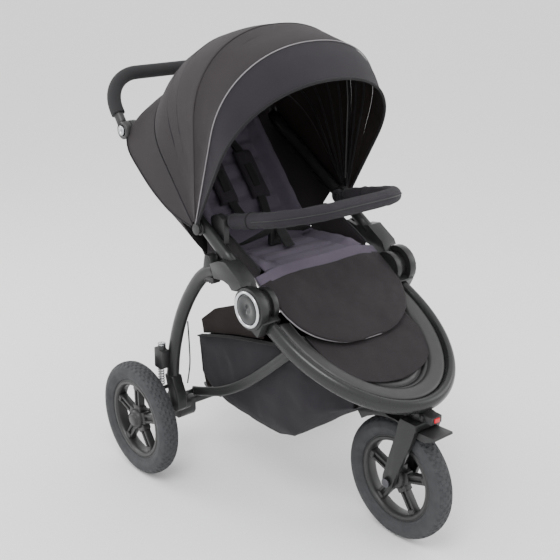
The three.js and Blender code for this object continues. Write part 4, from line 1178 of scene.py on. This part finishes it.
def make_basket():
    """A cloth trough under the seat: floor and side walls in one run, over the front slope too."""
    front, back = -325, 190

    def wall(u, v):
        y = front + (back - front) * v
        floor = between(BASKET_FLOOR, y)
        top = between(HEM if y > -132 else BASKET_FRONT, y)
        narrow = between(((-325, 0.80), (-190, 1)), y)
        side = abs(2 * u - 1)
        if side < 0.42:
            z, x = floor, (2 * u - 1) / 0.42 * (basket_half(floor) - 0.020) * narrow
        else:
            share = (side - 0.42) / 0.58
            z = floor + (top - floor) * ease(share) ** 0.9
            turn = ease(share / 0.25)
            half = basket_half(z) - 0.020 * (1 - turn)
            x = math.copysign(half - 0.006 * math.sin(math.pi * share), 2 * u - 1) * narrow
        point = Vector((x, y * MM, z * MM))
        inward = Vector((-math.copysign(1, point.x), 0, 0)) if side > 0.42 else Vector((0, 0, 1))
        return point + inward * abs(noisy(point, 0.008, 9) + noisy(point, 0.003, 26, 4))

    body = piece_of("basket_cloth", outward(sheet(84, 66, wall), BASKET_MIDDLE),
                    [STUFF["basket"], STUFF["lining"]])
    thicken(body, 0.0022, 0.0, 1)
    soften(body)
    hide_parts("basket")

    def rear(u, v):
        z = 220 + (366 - 220) * v
        x = (2 * u - 1) * (basket_half(z) - 0.003)
        point = Vector((x, (0.183 + 0.004 * v), z * MM))
        return point + Vector((0, -1, 0)) * abs(noisy(point, 0.006, 12))

    rear_wall = piece_of("basket_rear_wall", outward(sheet(40, 16, rear), BASKET_MIDDLE),
                         [STUFF["basket"], STUFF["lining"]])
    thicken(rear_wall, 0.0022, 0.0, 1)
    soften(rear_wall)
    pieces = [body, rear_wall]
    for side, s in SIDES:
        hem = [Vector((s * (basket_half(between(HEM, y)) - 0.0005), y * MM, between(HEM, y) * MM))
               for y in range(-130, 188, 8)]
        band = strip(f"{side}_basket_hem", hem, 0.015, 0.0030)
        pieces.append(band)

        def flap(u, v, s=s):
            y = -58 + (184 + 58) * v
            top = between(FLAP, y)
            low = between(HEM, y) + 2
            z = top + (low - top) * u
            x = s * (0.167 - 0.006 * u)
            point = Vector((x, y * MM, z * MM))
            return point - Vector((s, 0, 0)) * abs(noisy(point, 0.004, 14))

        # A real side curtain of the basket, made in the dark lining cloth as painted shade: darker than the
        # basket for the shadow on this side.
        upper = piece_of(f"{side}_basket_flap_painted_shade", sheet(20, 24, flap), [STUFF["lining"]])
        thicken(upper, 0.0024, 0.0)
        soften(upper)
        pieces.append(upper)
    for made in pieces:
        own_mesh(made)
        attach(made, "front_frame")


# ---- bumper bar -------------------------------------------------------------------------------
BUMPER_TILT = math.radians(14)
BUMPER_X = 0.176
BUMPER_REACH = 0.255
BUMPER_BEND = 0.105


def bumper_place(x, along):
    return BUMPER_PIVOT + Vector((x, -along * math.cos(BUMPER_TILT), along * math.sin(BUMPER_TILT)))


def bumper_path():
    path = [bumper_place(-BUMPER_X, 0.032 + (BUMPER_REACH - BUMPER_BEND - 0.032) * i / 6) for i in range(6)]
    for centre, first in ((-BUMPER_X + BUMPER_BEND, 180), (BUMPER_X - BUMPER_BEND, 90)):
        for i in range(17):
            a = math.radians(first - 90 * i / 16)
            path.append(bumper_place(centre + BUMPER_BEND * math.cos(a),
                                     BUMPER_REACH - BUMPER_BEND + BUMPER_BEND * math.sin(a)))
    path += [bumper_place(BUMPER_X, BUMPER_REACH - BUMPER_BEND - (BUMPER_REACH - BUMPER_BEND - 0.032) * i / 6)
             for i in range(1, 7)]
    return path


def make_bumper():
    normal = Vector((0, math.sin(BUMPER_TILT), math.cos(BUMPER_TILT)))
    path = bumper_path()
    bar = swept(path, normal, oval(0.036, 0.036), 32, 120)
    for vert in bar.verts:
        vert.co += Vector((0, 0, 1)) * noisy(vert.co, 0.0016, 60) + ACROSS * noisy(vert.co, 0.0012, 45, 8)
    for _, s in SIDES:
        centre = Vector((0, BUMPER_PIVOT.y, BUMPER_PIVOT.z))
        lug = [(6.6, 168.2), (15.4, 168.2), (17, 170), (17, 182), (15.4, 183.8), (6.6, 183.8)]
        merge(bar, spun([(r, x * s) for r, x in lug], centre, 40))
        link = block((s * BUMPER_X - 0.007, -0.040, -0.012), (s * BUMPER_X + 0.007, 0, 0.012), 0.003)
        bmesh.ops.rotate(link, verts=link.verts, cent=(0, 0, 0), matrix=Matrix.Rotation(-BUMPER_TILT, 3, "X"))
        bmesh.ops.translate(link, verts=link.verts, vec=centre)
        merge(bar, link)
    cover = piece_of("bumper_cover", bar, [STUFF["visor"]])
    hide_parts("bumper_bar")
    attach(cover, "bumper")
    inner = [at(path, 0.10 + 0.80 * i / 90) for i in range(91)]
    line = [spot - heading.cross(normal).normalized() * -0.0186 for spot, heading in inner]
    piping("bumper_zip", line, 0.0011, STUFF["plastic"], "bumper")
    for i, t in enumerate((0.075, 0.925)):
        spot, heading = at(path, t)
        ring = [spot + (normal * math.cos(a) + heading.cross(normal).normalized() * math.sin(a)) * 0.0182
                for a in [2 * math.pi * j / 28 for j in range(29)]]
        piping(f"bumper_cuff_{i}", ring, 0.0020, STUFF["binding"], "bumper")
    for side, _ in SIDES:
        polish(f"{side}_bumper_mount", STUFF["plastic"], 2.0, 3)


def main():
    make_camera()
    make_studio()
    make_wheels()
    make_loop()
    make_footrest()
    make_footwell()
    make_front_end()
    make_hubs()
    make_side_frames()
    make_leg_fittings()
    make_handle()
    make_rear_end()
    make_basket_bars()
    make_canopy()
    make_seat()
    make_apron()
    make_basket()
    make_bumper()


STUFF = make_materials()
main()
